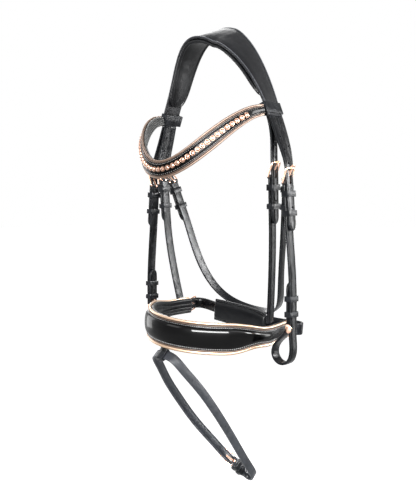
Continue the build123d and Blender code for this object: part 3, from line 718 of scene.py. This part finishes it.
# The browband, whose front dips in a wave.
browband = {"reach": 111.0, "wide": 24.0, "wideEnd": 15.0, "drop": 79.0, "span": 80.2, "waveHalf": 85.0,
            "band": 2.6, "lining": 3.4, "patent": 1.2, "patentCrown": 0.5, "piping": 1.5, "gap": 0.3,
            "innerCord": 0.8, "taperFrom": 0.45, "taperLong": 0.55, "stitchPitch": 2.9,
            "stitch": (1.9, 0.3), "loopZ": archPoint(1.0).z}
stones = {"count": 37, "pitch": 7.6, "ring": 3.7, "ringTop": 3.25, "ringHigh": 1.5, "rim": 0.45, "hollow": 0.1,
          "gem": (2.9, 2.9, 1.75), "gemLift": 1.35}


def browPoint(angle):
    s, turn = browband, math.radians(angle)
    rise = (1 - math.cos(math.radians(180 * abs(angle) / s["waveHalf"]))) / 2
    return Vector((headpiece["loopX"] * math.sin(turn), headpiece["loopY"] - s["reach"] * math.cos(turn),
                   s["loopZ"] - 3 - s["drop"] * (1 - rise)))


brow = curve(*[browPoint(browband["span"] * i / 10) for i in range(-10, 11)])


def browFacing(place):
    spot = spotAt(brow, place) / mm
    return Vector((spot.x / headpiece["loopX"] ** 2, (spot.y - headpiece["loopY"]) / browband["reach"] ** 2, 0))


def browHeight(place):
    s, side = browband, abs(2 * place - 1)
    return s["wide"] + (s["wideEnd"] - s["wide"]) * max(0.0, (side - s["taperFrom"]) / s["taperLong"]) ** 1.5


def makeBrowband():
    s = browband
    places = bendPlaces(brow, 110)
    inset = 2 * s["piping"] + s["gap"]
    patentMiddle = s["band"] + s["gap"] + s["patent"] / 2

    def bandSection(p):
        return strapSection((browHeight(p) - 2 * inset) * mm, s["band"] * mm, corner=0.5 * mm,
                            lift=s["band"] / 2 * mm)

    def liningSection(p):
        return padSection(browHeight(p) - 2 * s["piping"], s["lining"], -2 * s["gap"] - s["lining"] / 2,
                          bead=1.6, groove=1.5, channels=2, crown=0.3)

    def patentSection(p):
        wide = (browHeight(p) - 2 * inset - 0.8) * mm
        section = strapSection(wide, s["patent"] * mm, corner=0.5 * mm, crease=1.5 * mm, depth=0.12 * mm,
                               crown=0, lift=patentMiddle * mm)
        return crowned(section, wide, s["patentCrown"] * mm, patentMiddle * mm)

    newPiece("browband_leather", sweep(brow, browFacing, bandSection, places), "bridle_leather", "browband_band")
    lining = newPiece("browband_lining_ribbed", sweep(brow, browFacing, liningSection, places), "lining",
                      "browband_lining")
    newPiece("browband_patent_face", sweep(brow, browFacing, patentSection, places), "brow_patent",
             "browband_patent")
    makePipings("browband", brow, browFacing, browHeight, places, "brow_piping", "headpiece",
                (s["piping"], s["piping"], s["piping"], 14), (s["innerCord"], inset + 0.35, s["band"] + 0.5, 10))
    # white thread whose colour partly paints glints on the stitches
    bm = bmesh.new()
    for side in (-1, 1):
        stitchRow(bm, brow, browFacing, lambda p: side * (browHeight(p) / 2 - inset - 2.1),
                  s["band"] + s["gap"] + s["patent"] + 0.25, s["stitchPitch"], s["stitch"], 0.03, 0.97)
    newPiece("browband_stitches", bm, "thread", body="headpiece", slot="patent_leather")


def makeStones():
    # a ring setting and a cut dome for each stone
    s = stones
    gems, rings = bmesh.new(), bmesh.new()
    for i in range(s["count"]):
        place = 0.5 + s["pitch"] * mm / brow["length"] * (i - (s["count"] - 1) / 2)
        spot, across, outward = frameAt(brow, place, browFacing)
        axes = (across, outward.cross(across), outward)
        base = spot + outward * (browband["band"] + browband["patent"] + 2 * browband["gap"]) * mm
        ring = disc(s["ring"], s["ringHigh"], 16, s["ringTop"])
        top = [f for f in ring.faces if f.normal.z > 0.9]
        bmesh.ops.inset_region(ring, faces=top, thickness=s["rim"] * mm, depth=-s["hollow"] * mm)
        joinInto(rings, ring, standing(axes, base + outward * (s["ringHigh"] / 2) * mm))
        gem, size = ball(s["gem"], 10, 8)
        bmesh.ops.bisect_plane(gem, geom=gem.verts[:] + gem.edges[:] + gem.faces[:], plane_co=(0, 0, 0),
                               plane_no=(0, 0, -1), clear_outer=True)
        bmesh.ops.transform(gem, matrix=size, verts=gem.verts)
        joinInto(gems, gem, standing(axes, base + outward * s["gemLift"] * mm))
    newPiece("browband_settings", rings, "setting_gold_painted_shade", body="headpiece", angle=30)
    newPiece("browband_gems", gems, "stone", "browband_stones", flat=True)


makeBrowband()
makeStones()
print("browband made")

# The straps of both sides. The billets named in billetBends are left unattached, with their shapes baked in place.
billets = {name: {"width": width, "thick": 3.0, "rows": 70, "tip": 11.0, "holesAbove": above}
           for name, width, above in (("cheek", 14.0, 3), ("throat", 13.0, 2), ("hanger", 13.0, 3))}
topSettings = {"y": -9.0, "gap": 0.6, "holesBelow": 2}
billetBends = {"cheek": (-0.112, -0.138), "throat": (-0.112, -0.146)}


def sidePieces(name, make, bend=None):
    # a near piece and its mirror image, each riding with the CAD piece it stands for, or, where bend is given, left
    # unattached with its shape baked in place
    for side, bm in pairOf(make):
        nodeName = "%s_%s" % (side, name)
        piece = newPiece(nodeName + "_leather", bm, "bridle_leather", nodeName, bends=bool(bend))
        if bend:
            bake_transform(piece)


def billetTops():
    s = topSettings
    loopUp = (archPoint(0.97) - archPoint(1.03)).normalized()
    start = spotAt(arch, 1.0) / mm - loopUp * s["gap"]
    cheekTop = Vector((start.x, s["y"], start.z))
    throatTop = Vector((start.x, s["y"] + billets["cheek"]["width"] / 2 + s["gap"] + billets["throat"]["width"] / 2,
                        start.z))
    hangerTop = onSeat(seatAt(archPoint(1.0), loopUp, (1, 0, 0)), 0, 6, -4.1)
    hangerTop.y = s["y"]
    return {"cheek": [cheekTop, cheekTop - loopUp * 40],
            "throat": [throatTop, throatTop - loopUp * 30 + Vector((-2.0, 1.5, 0))],
            "hanger": [hangerTop, hangerTop - loopUp * 15, hangerTop - loopUp * 15 + Vector((5.5, 0, -22))]}


def makeBillet(name, top):
    s, seat = billets[name], sides[name]
    path = curve(*top, *throughBuckle(seat, (buckle["length"] + 4, 0.6), (4, 0), (-20, 0), (-buckle["tailDrop"], 0)))
    facing = steady(seat["out"])
    used = buckle["tailDrop"] + buckle["tongueSpot"]
    spots = []
    for step in [*range(-topSettings["holesBelow"], 0), *range(1, s["holesAbove"] + 1)]:
        place = 1 - (used + buckle["holePitch"] * step) * mm / path["length"]
        spot, across, outward = frameAt(path, place, facing)
        spots.append((spot / mm, outward, buckle["holeRadius"], 0.0, alongAt(path, place)))
    return cutWith(strap(path, facing, s), spots + [tongueSlot(seat)])


for name, top in billetTops().items():
    sidePieces(name + "_billet", lambda side: makeBillet(name, top), billetBends.get(name))
print("billets made")

cheekLow = {"width": 14.0, "thick": 3.2, "rows": 150, "tip": 11.0, "x": 134.0, "bitRadius": 14.0,
            "bitZ": -426.0, "tipZ": -334.0, "layer": 4.2, "sewn": ((0.07, 0.105), (0.335, 0.375)),
            "stitchAway": 3.6, "stitchRise": 1.75, "stitchPitch": 2.6, "stitch": (1.8, 0.26)}
hookPlate = {"size": (4.6, 2.6, 6.2), "spot": (131.6, -15.6, -393)}


def cheekPath():
    s, seat, y = cheekLow, sides["cheek"], topSettings["y"]
    top = belowBuckle(seat, buckle["heel"], 35, buckle["tailDrop"] + 8)
    side = [Vector((s["x"], y, z)) for z in (-345, -380, -405)]
    centre = Vector((s["x"] - s["bitRadius"] - 0.5, y, s["bitZ"]))
    bend = [centre + Vector((math.cos(math.radians(a)), 0, math.sin(math.radians(a)))) * s["bitRadius"]
            for a in (-15, -50, -90, -130, -165, -205)]
    inner = s["x"] - s["layer"]
    turns = ((8.5, -404), (1.2, -393), (0, -380), (0, -355), (0.3, s["tipZ"]))
    back = [Vector((inner - further, y, z)) for further, z in turns]
    path = curve(*top, *side, *bend, *back)
    return path, lambda p: alongAt(path, p).cross(Vector((0, 1, 0)))


def makeCheekpiece(side):
    return foldRound(strap(*cheekPath(), cheekLow), sides["cheek"], cheekLow["width"])


def makeCheekStitches(side):
    # the sewn ends below the buckle and above the bit
    s, bm = cheekLow, bmesh.new()
    path, facing = cheekPath()
    for first, last in s["sewn"]:
        for away in (-s["stitchAway"], s["stitchAway"]):
            stitchRow(bm, path, facing, away, s["stitchRise"], s["stitchPitch"], s["stitch"], first, last)
    return bm


def makeHookPlate(side):
    # bent round the front edge of both layers
    bm, size = ball(hookPlate["size"], 24, 14)
    bmesh.ops.transform(bm, matrix=size, verts=bm.verts)
    bmesh.ops.translate(bm, vec=Vector(hookPlate["spot"]) * mm, verts=bm.verts)
    return bm


sidePieces("cheekpiece", makeCheekpiece)
for side, bm in pairOf(makeCheekStitches):
    newPiece(side + "_cheek_stitches", bm, "dark_thread", body=side + "_cheek")
for side, bm in pairOf(makeHookPlate):
    newPiece(side + "_hook_plate", bm, "rose_gold", body=side + "_cheek", angle=60)

hanger = {"width": 13.0, "thick": 3.2, "rows": 60}
# The noseband's sizes come first, since the hangers end inside it. Its belly hangs fuller from bellyNear
# and bellyOff on (where it starts and how far it takes), and its near side sags from sagFrom over sagLong.
noseband = {"halfX": 90.0, "front": 110.0, "midY": 1.0, "midZ": -397.5, "roll": 5.7, "frontHeight": 37.0,
            "sideHeight": 24.5, "taperFrom": -66.0, "taperLong": 56.0, "nearEnd": 40.0, "offEnd": 27.0,
            "thick": 3.0, "padding": 6.0, "piping": 1.7,
            "innerCord": 0.6, "swellRise": 4.2, "swellInset": 7.0, "swellEnd": 2.0, "nearTaper": 34.0,
            "offTaper": 4.0, "puckerPitch": 24.0, "stitchPitch": 2.8, "stitchLong": 2.2,
            "stitchRadius": {1: 0.34, -1: 0.62}, "belly": 5.3, "bellyNear": (30, 40), "bellyOff": (-15, 45),
            "sag": 2.2, "sagFrom": -40, "sagLong": 78}


def makeHanger(side):
    s, n, seat = hanger, noseband, sides["hanger"]
    roll = math.radians(n["roll"]) * (1 if side == "near" else -1)
    inner, drop = n["halfX"] - 1.5 - 0.3 - s["width"] / 6, n["sideHeight"] / 2 + 1.5
    foot = Vector((inner * math.cos(roll) + drop * math.sin(roll), 4,
                   n["midZ"] - inner * math.sin(roll) + drop * math.cos(roll)))
    path = curve(*belowBuckle(seat, buckle["heel"], 35, buckle["tailDrop"] + 8), foot)
    return foldRound(strap(path, steady(seat["out"]), s), seat, s["width"])


sidePieces("hanger", makeHanger)

throat = {"width": 13.0, "thick": 3.2, "straight": 60.0, "rows": 150, "under": 0.45, "down": -0.9}


def makeThroatlash():
    s, seat = throat, sides["throat"]
    run = belowBuckle(seat, buckle["heel"], 22, 44, 62)
    run += [Vector(p) for p in ((86, 34, -290), (70, 51, -345), (46, 78, -382), (0, 101, -397))]
    path = curve(*run, *[Vector((-p.x, p.y, p.z)) for p in reversed(run[:-1])])
    straight = s["straight"] * mm / path["length"]

    def facing(p):
        # turns over only between the straight ends, which lie in the runners
        turn = math.pi * held((p - straight) / (1 - 2 * straight))
        return Vector((math.cos(turn), s["under"] * math.sin(turn), s["down"] * math.sin(turn)))

    bm = foldRound(strap(path, facing, s), seat, s["width"])
    joinInto(bm, mirrorAcross(foldRound(bmesh.new(), seat, s["width"])))
    newPiece("throatlash_leather", bm, "bridle_leather", "throatlash")


makeThroatlash()
softenedNodes([side + "_" + part for side in ("near", "off")
               for part in ("cheek_keepers", "cheek_runner", "hanger_runner", "throat_runner")]
              + ["hanger_keepers", "throat_keepers"])
print("side straps made")


# The noseband, shaped level and then rolled to the way it hangs.
def noseLine():
    s = noseband
    points = [(0.5 - s["halfX"], s["offEnd"])]
    for angle in range(-90, 91, 18):
        turn = math.radians(angle)
        points.append((s["halfX"] * math.sin(turn), s["midY"] - s["front"] * math.cos(turn)))
    points += [(s["halfX"], (s["nearEnd"] + s["midY"]) / 2), (s["halfX"] - 1, s["nearEnd"])]
    return curve(*[(x, y, s["midZ"]) for x, y in points])


nose = noseLine()
rollCentre = Matrix.Translation(Vector((0, noseband["midY"], noseband["midZ"])) * mm)
rollTurn = rollCentre @ Matrix.Rotation(math.radians(noseband["roll"]), 4, "Y") @ rollCentre.inverted()


def noseFacing(place):
    along = alongAt(nose, place)
    return Vector((along.y, -along.x, 0))


def noseHeight(place):
    s = noseband
    share = held((spotAt(nose, place).y / mm - s["taperFrom"]) / s["taperLong"])
    return s["frontHeight"] + (s["sideHeight"] - s["frontHeight"]) * eased(share)


def swellPlace(near):
    # where the swell ends on one side
    low, high = (0.5, 1.0) if near else (0.0, 0.5)
    for _ in range(30):
        middle = (low + high) / 2
        if (spotAt(nose, middle).y / mm < noseband["swellEnd"]) == near:
            low = middle
        else:
            high = middle
    return (low + high) / 2


def hang(spot):
    # the band's lower half is drawn down by its own weight, most of all at the front
    s = noseband
    forward = spot.y / mm - s["midY"]
    start, over = s["bellyNear"] if spot.x > 0 else s["bellyOff"]
    low = held((s["midZ"] - spot.z / mm) / (s["frontHeight"] / 2))
    sag = math.sin(math.pi * held((forward - s["sagFrom"]) / s["sagLong"])) ** 2 if spot.x > 0 else 0.0
    return Vector((spot.x, spot.y, spot.z - (s["belly"] * eased(held((start - forward) / over)) * low
                                             + s["sag"] * sag) * mm))


def rolled(name, bm, finish, *nodeNames, body=None, slot=None):
    for v in bm.verts:
        v.co = hang(v.co)
    bmesh.ops.transform(bm, matrix=rollTurn, verts=bm.verts)
    return newPiece(name, bm, finish, *nodeNames, body=body, slot=slot)


crank = {"width": 16.0, "thick": 3.0, "tail": 24.0, "ringLength": 10.0, "ringTurn": 37.0, "rows": 130, "tip": 11,
         "endLong": 5.5}
chin = {"half": 48.0, "height": 33.0, "thick": 9.0, "y": 45.0, "border": 1.3, "borderWide": 3.4,
        "endLong": 9.0, "stuffedUnder": 3.9, "stuffedOver": 2.9, "stitchInset": 2.2, "stitchRise": 1.35,
        "stitchPitch": 2.8, "stitch": (1.9, 0.26)}
crankSeat = seatAt((0.5 - noseband["halfX"], noseband["offEnd"] + 4, noseband["midZ"]), (0, 1, 0), (-1, 0, 0))
ringBar = Vector((noseband["halfX"] - 1, noseband["nearEnd"] + buckle["eyeRadius"], noseband["midZ"]))
ringSeat = seatAt(ringBar, (0, 1, 0), (1, 0, 0))


def makeNoseband():
    s, places = noseband, bendPlaces(nose, 120)
    inset, face = 2 * s["piping"] + 0.6, s["thick"] / 2

    def bandSection(p):
        return strapSection((noseHeight(p) - 2 * inset) * mm, s["thick"] * mm, corner=0.7 * mm, crease=1.3 * mm)

    bm = sweep(nose, noseFacing, bandSection, places)
    for seat, slotWide in ((crankSeat, buckle["slotWidth"]), (ringSeat, 0.0)):
        foldRound(bm, seat, crank["width"], slotWide)
        part = bmesh.new()
        bmesh.ops.create_cube(part, size=1.0)
        size = Matrix.Diagonal((crank["width"] * mm, crank["endLong"] * mm, s["thick"] * mm, 1))
        bmesh.ops.transform(part, matrix=size, verts=part.verts)
        joinInto(bm, roundEdges(part, 0.7), standing((seat["across"], seat["up"], seat["out"]),
                                                     onSeat(seat, 0, -5.0, 0) * mm))
    rolled("noseband_leather", bm, "bridle_leather", "noseband_band")

    def paddedSection(p):
        # puckered by the cross seams
        pucker = abs(math.sin(math.pi * p * nose["length"] / (s["puckerPitch"] * mm)))
        return padSection(noseHeight(p) - 2.0, s["padding"], -face - 0.3 - s["padding"] / 2, bead=2.7,
                          groove=1.5 - 0.3 * pucker, channels=1, crown=0.5 + 0.5 * pucker ** 0.5)

    pad = rolled("noseband_padding_stuffed", sweep(nose, noseFacing, paddedSection, bendPlaces(nose, 260)),
                 "soft_leather", "noseband_padding")
    first, last = swellPlace(False), swellPlace(True)

    def domeSection(p):
        # full at its square off end, drawn in to a blunt point at the near end
        end = held((last - p) * nose["length"] / (s["nearTaper"] * mm))
        begin = held((p - first) * nose["length"] / (s["offTaper"] * mm))
        half = (noseHeight(p) / 2 - s["swellInset"]) * (0.6 + 0.4 * rounding(end))
        rise = s["swellRise"] * (0.35 + 0.65 * rounding(begin)) * (0.45 + 0.55 * end ** 0.6)
        base = face + 0.3
        turns = [math.pi * k / 16 for k in range(17)]
        spots = [(half * math.cos(t), base + rise * math.sin(t) ** 0.8) for t in turns]
        return [(x * mm, y * mm) for x, y in spots + [(-half * 0.5, base), (0, base), (half * 0.5, base)]]

    rows = [first + (last - first) * t for t in (0, 0.002, 0.005, 0.01, 0.016)]
    rows += bendPlaces(nose, 110, rows[-1] + 0.005, last)
    rolled("noseband_patent_swell", sweep(nose, noseFacing, domeSection, rows), "patent_leather", "noseband_swell")
    makePipings("noseband", nose, noseFacing, noseHeight, places, "metallic_piping", "noseband",
                (s["piping"], s["piping"], 0, 14), (s["innerCord"], inset + 0.3, face + 0.1, 10), rolled)
    # the lower row is thicker, so its white thread also paints the highlight along the swell's lower edge
    bm = bmesh.new()
    for side in (-1, 1):
        stitchRow(bm, nose, noseFacing, lambda p: side * (noseHeight(p) / 2 - s["swellInset"] + 0.8), face + 0.3,
                  s["stitchPitch"], (s["stitchLong"], s["stitchRadius"][side]), first - 0.01, last + 0.03)
    rolled("noseband_stitches", bm, "thread", body="noseband", slot="bridle_leather")


def makeCrank():
    s, n = crank, noseband
    turn = math.radians(s["ringTurn"])
    way = Vector((math.sin(turn), math.cos(turn), 0))
    sewnBar = ringBar + way * s["ringLength"]
    sewnSeat = seatAt(sewnBar, way, (math.cos(turn), -math.sin(turn), 0))
    back = chin["y"] + chin["thick"] / 2 + 0.3 + s["thick"] / 2
    turns = [(n["halfX"] + 8.5, n["nearEnd"] + 22), (n["halfX"] + 1, n["nearEnd"] + 28.5),
             (n["halfX"] - 12, n["nearEnd"] + 24), (chin["half"], back + 1.6), (0, back + 0.4),
             (-chin["half"], back + 1)]
    path = curve(sewnBar + way * buckle["heel"], sewnBar + way * 6, *[(x, y, n["midZ"]) for x, y in turns],
                 *throughBuckle(crankSeat, (buckle["length"] + 2, 0.6), (4, 0), (-14, 0), (-s["tail"], 0)))
    bm = cutWith(strap(path, lambda p: Vector((0, 0, 1)).cross(alongAt(path, p)), s), [tongueSlot(crankSeat)])
    foldRound(bm, sewnSeat, s["width"], 0.0)
    rolled("crank_strap_leather", bm, "bridle_leather", "crank_strap")


def makeChinPad():
    # a stuffed panel with a flat sewn border
    s, outward = chin, steady((0, 1, 0))
    line = curve(*[(s["half"] * share, s["y"] - dip, noseband["midZ"])
                   for share, dip in ((1, 2), (0.5, 0.5), (0, 0), (-0.5, 0.5), (-1, 2))])

    def height(p):
        # narrower towards its near end
        return s["height"] * (1 - (0.25 if p < 0.5 else 0.04) * abs(2 * p - 1) ** 3)

    def section(p):
        full = 0.30 + 0.70 * rounding(min(1.0, min(p, 1 - p) * line["length"] / (s["endLong"] * mm)), 2.5)
        half, flat = height(p) / 2, s["border"]
        inner = half - s["borderWide"]
        spots = [(half - 0.3, flat), (half, flat - 0.5), (half, 0.5 - flat), (half - 0.3, -flat)]
        under = [(inner * math.cos(t), -flat + 0.5 - s["stuffedUnder"] * full * math.sin(t) ** 0.55)
                 for t in [math.pi * k / 12 for k in range(13)]]
        over = [(-inner * math.cos(t), flat + s["stuffedOver"] * full * math.sin(t) ** 0.5)
                for t in [math.pi * k / 8 for k in range(1, 8)]]
        spots += [(inner + 0.7, -flat - 0.1)] + under + [(-inner - 0.7, -flat - 0.1)]
        spots += [(0.3 - half, -flat), (-half, 0.5 - flat), (-half, flat - 0.5), (0.3 - half, flat)] + over
        return [(x * mm, y * mm) for x, y in reversed(spots)]

    rows = [0, 0.006, 0.02, 0.035, 0.05, 0.065, 0.08, 0.1]
    rows += bendPlaces(line, 40, 0.12, 0.88) + [1 - r for r in reversed(rows)]
    pad = rolled("chin_pad_stuffed", sweep(line, outward, section, rows), "soft_leather", "chin_pad")
    bm = bmesh.new()
    for side in (-1, 1):
        for face in (-1, 1):
            stitchRow(bm, line, outward, lambda p: side * (height(p) / 2 - s["stitchInset"]), face * s["stitchRise"],
                      s["stitchPitch"], s["stitch"], 0.03, 0.97)
    for end in (0.022, 0.978):
        spot, across, _ = frameAt(line, end, outward)
        high = height(end) / 2 - 2.0
        border = curve(spot / mm - across * high, spot / mm, spot / mm + across * high)
        for face in (-1, 1):
            stitchRow(bm, border, outward, 0, face * s["stitchRise"], s["stitchPitch"], s["stitch"])
    rolled("chin_pad_stitches", bm, "grey_thread", body="noseband")


makeNoseband()
makeCrank()
makeChinPad()
print("noseband made")

# The flash strap, in its own sloping plane, and its carrier: the loop that holds it
# and the tab by which the loop hangs from inside the noseband.
flash = {"start": (0.0, -105.0, -438.0), "slope": 50.8, "length": 250.0, "bulge": 32.0, "front": -11.0,
         "tail": 31.0, "width": 12.5, "thick": 3.0, "rows": 200, "tip": 11}
carrier = {"cutBack": 3.3, "edge": 0.4,
           "tab": {"width": 13.0, "thick": 1.8, "rows": 30, "crease": 1.6},
           "tabPath": ((0, -106.3, -409), (0, -106.7, -414), (0, -107.4, -418), (0, -108.9, -421.5),
                       (0, -110.6, -424.6), (0, -112.2, -426.6))}
flashDown = Vector((0, math.cos(math.radians(flash["slope"])), -math.sin(math.radians(flash["slope"]))))


def flashSpot(across, down):
    return Vector(flash["start"]) + Vector((across, 0, 0)) + flashDown * down


def makeFlash():
    s = flash
    long, bulge, front = s["length"], s["bulge"], s["front"]
    heel = flashSpot(-4, long - 28)
    seat = seatAt(heel, flashSpot(-15.6, long - 58) - heel, Vector((-0.93, 0, 0)) + flashDown * 0.36)
    fold = [(4.5, long - 6), (10.5, long + 2), (18, long)]
    near = [(bulge * 0.70, long - 9), (bulge * 0.74, 222), (bulge * 0.81, 190), (bulge * 0.92, 150), (bulge, 90),
            (bulge - 3, 45), (22, 12)]
    middle = [(14, front + 2.2), (0, front), (-14, front + 2.2)]
    off = [(-22, 12), (3 - bulge, 45), (-bulge, 90), (-bulge * 0.94, 140)]
    path = curve(*belowBuckle(seat, buckle["heel"], 6, 12), *[flashSpot(*p) for p in fold + near + middle + off],
                 *throughBuckle(seat, (34, 2.5), (buckle["length"] + 2, 0.6), (4, 0), (-14, 0), (-s["tail"], 0)))
    square = Vector((1, 0, 0)).cross(flashDown)
    bm = cutWith(strap(path, lambda p: alongAt(path, p).cross(square), s), [tongueSlot(seat)])
    foldRound(bm, seat, s["width"])
    # its lighter leather is a painted sheen
    newPiece("flash_strap_leather", bm, "flash_painted_sheen_leather", "flash_strap")


def makeCarrier():
    s = carrier
    bm = cadCopy("flash_loop")
    top = flashSpot(0, flash["front"]) * mm - flashDown * s["cutBack"] * mm
    cut = bmesh.ops.bisect_plane(bm, geom=bm.verts[:] + bm.edges[:] + bm.faces[:], plane_co=top,
                                 plane_no=-flashDown, clear_outer=True)
    rims = [e for e in cut["geom_cut"] if isinstance(e, bmesh.types.BMEdge)]
    bmesh.ops.holes_fill(bm, edges=rims, sides=0)
    newPiece("flash_loop_leather", soften(bm, s["edge"], wasCut=True), "bridle_leather",
             "flash_loop")
    tab = newPiece("flash_tab_leather", strap(curve(*s["tabPath"]), steady((0, -1, 0)), s["tab"]), "bridle_leather",
                   "flash_tab", bends=True)
    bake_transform(tab)


makeFlash()
makeCarrier()
softenedNodes(["flash_keepers"], 0.4)
print("flash strap made")

# The floor, the light and the camera.
stageSettings = {"drop": 0.22, "size": 14.0, "paper": 0.86, "glow": 0.75, "world": 0.3}
cameraSettings = {"azimuth": 42.0, "distance": 1.0, "axis": (0.0, -0.004, -0.229), "lens": 50.8, "sensor": 36,
                  "centreX": 218.0, "centreY": 201.0, "wide": 416, "tall": 499}
# place, aim, size, power, and whether it lights everything or only puts highlights on glossy surfaces
lamps = {"highFront": ((1.08, -0.98, -0.02), (0, 0, -0.40), (1.5, 0.34), 190, False),
         "highSide": ((1.25, 0.68, 0.04), (0, 0, -0.40), (0.75, 0.28), 75, False),
         "rightBack": ((1.2, 1.38, -0.1), (0, 0, -0.25), (0.3, 1.5), 30, False),
         "leftSide": ((-1.5, -0.15, -0.1), (0, 0, -0.3), (0.7, 1.2), 18, False),
         "leftBack": ((-1.35, 1.0, 0.1), (0, 0, -0.25), (0.3, 1.3), 14, False),
         "crownLamp": ((-1.0, 0.65, 0.95), (0, 0, 0), (1.1, 0.9), 17, False),
         "frontLamp": ((-0.5, -1.6, 0.7), (0, 0, -0.25), (0.9, 0.9), 16, True),
         "sideLamp": ((1.6, 0.1, 0.5), (0, 0, -0.25), (0.8, 0.8), 10, True)}


def anyRay(tree, *kinds):
    # 1 for the kinds of ray named
    rays = addNode(tree, "ShaderNodeLightPath")
    seen = rays.outputs[kinds[0]]
    for kind in kinds[1:]:
        seen = mathNode(tree, "MAXIMUM", seen, rays.outputs[kind])
    return seen


def makeFloor(settings):
    bm = bmesh.new()
    bmesh.ops.create_grid(bm, x_segments=1, y_segments=1, size=settings["size"])
    floor = newObject("floor", newMesh("floor", bm))
    floor.location = (0, 0, cadBox[0][2] - settings["drop"])
    paper, tree, base = newMaterial("paper")
    setValues(base, Base_Color=(*[settings["paper"]] * 3, 1), Roughness=0.9, Specular_IOR_Level=0.1)
    glow = addNode(tree, "ShaderNodeEmission", Strength=settings["glow"])
    both = addNode(tree, "ShaderNodeAddShader", [(base.outputs[0], 0), (glow.outputs[0], 1)])
    pick = addNode(tree, "ShaderNodeMixShader", [(anyRay(tree, "Is Camera Ray", "Is Glossy Ray"), "Fac"),
                                                 (base.outputs[0], 1), (both.outputs[0], 2)])
    tree.links.new(pick.outputs[0], tree.nodes["Material Output"].inputs["Surface"])
    floor.data.materials.append(paper)


def makeWorld(settings):
    world = bpy.data.worlds.new("studio")
    bpy.context.scene.world = world
    world.use_nodes = True
    tree = world.node_tree
    back = tree.nodes["Background"]
    back.inputs["Color"].default_value = (1, 1, 1, 1)
    seen = anyRay(tree, "Is Camera Ray", "Is Glossy Ray", "Is Transmission Ray")
    power = addNode(tree, "ShaderNodeMapRange", [(seen, "Value")], To_Min=settings["world"], To_Max=1.0)
    tree.links.new(power.outputs["Result"], back.inputs["Strength"])


def addLamp(name, spot, aim, size, power, soft):
    data = bpy.data.lights.new(name, "AREA")
    data.shape, data.size, data.size_y, data.energy = "RECTANGLE", size[0], size[1], power
    lamp = newObject(name, data)
    lamp.location = spot
    lamp.rotation_euler = (Vector(aim) - Vector(spot)).to_track_quat("-Z", "Y").to_euler()
    lamp.visible_diffuse = soft


def makeCamera(settings):
    turn = math.radians(settings["azimuth"])
    back = Vector((math.sin(turn), -math.cos(turn), 0))
    data = bpy.data.cameras.new("camera")
    data.lens, data.sensor_width, data.sensor_height = settings["lens"], settings["sensor"], settings["sensor"]
    data.shift_x = (settings["wide"] / 2 - settings["centreX"]) / settings["tall"]
    data.shift_y = (settings["centreY"] - settings["tall"] / 2) / settings["tall"]
    camera = newObject("camera", data)
    camera.location = Vector(settings["axis"]) + back * settings["distance"]
    camera.rotation_euler = (-back).to_track_quat("-Z", "Y").to_euler()
    bpy.context.scene.camera = camera


makeFloor(stageSettings)
makeWorld(stageSettings)
for name, lampSettings in lamps.items():
    addLamp(name, *lampSettings)
makeCamera(cameraSettings)
bpy.context.scene.view_settings.view_transform = "Standard"
print("stage, lamps and camera made")
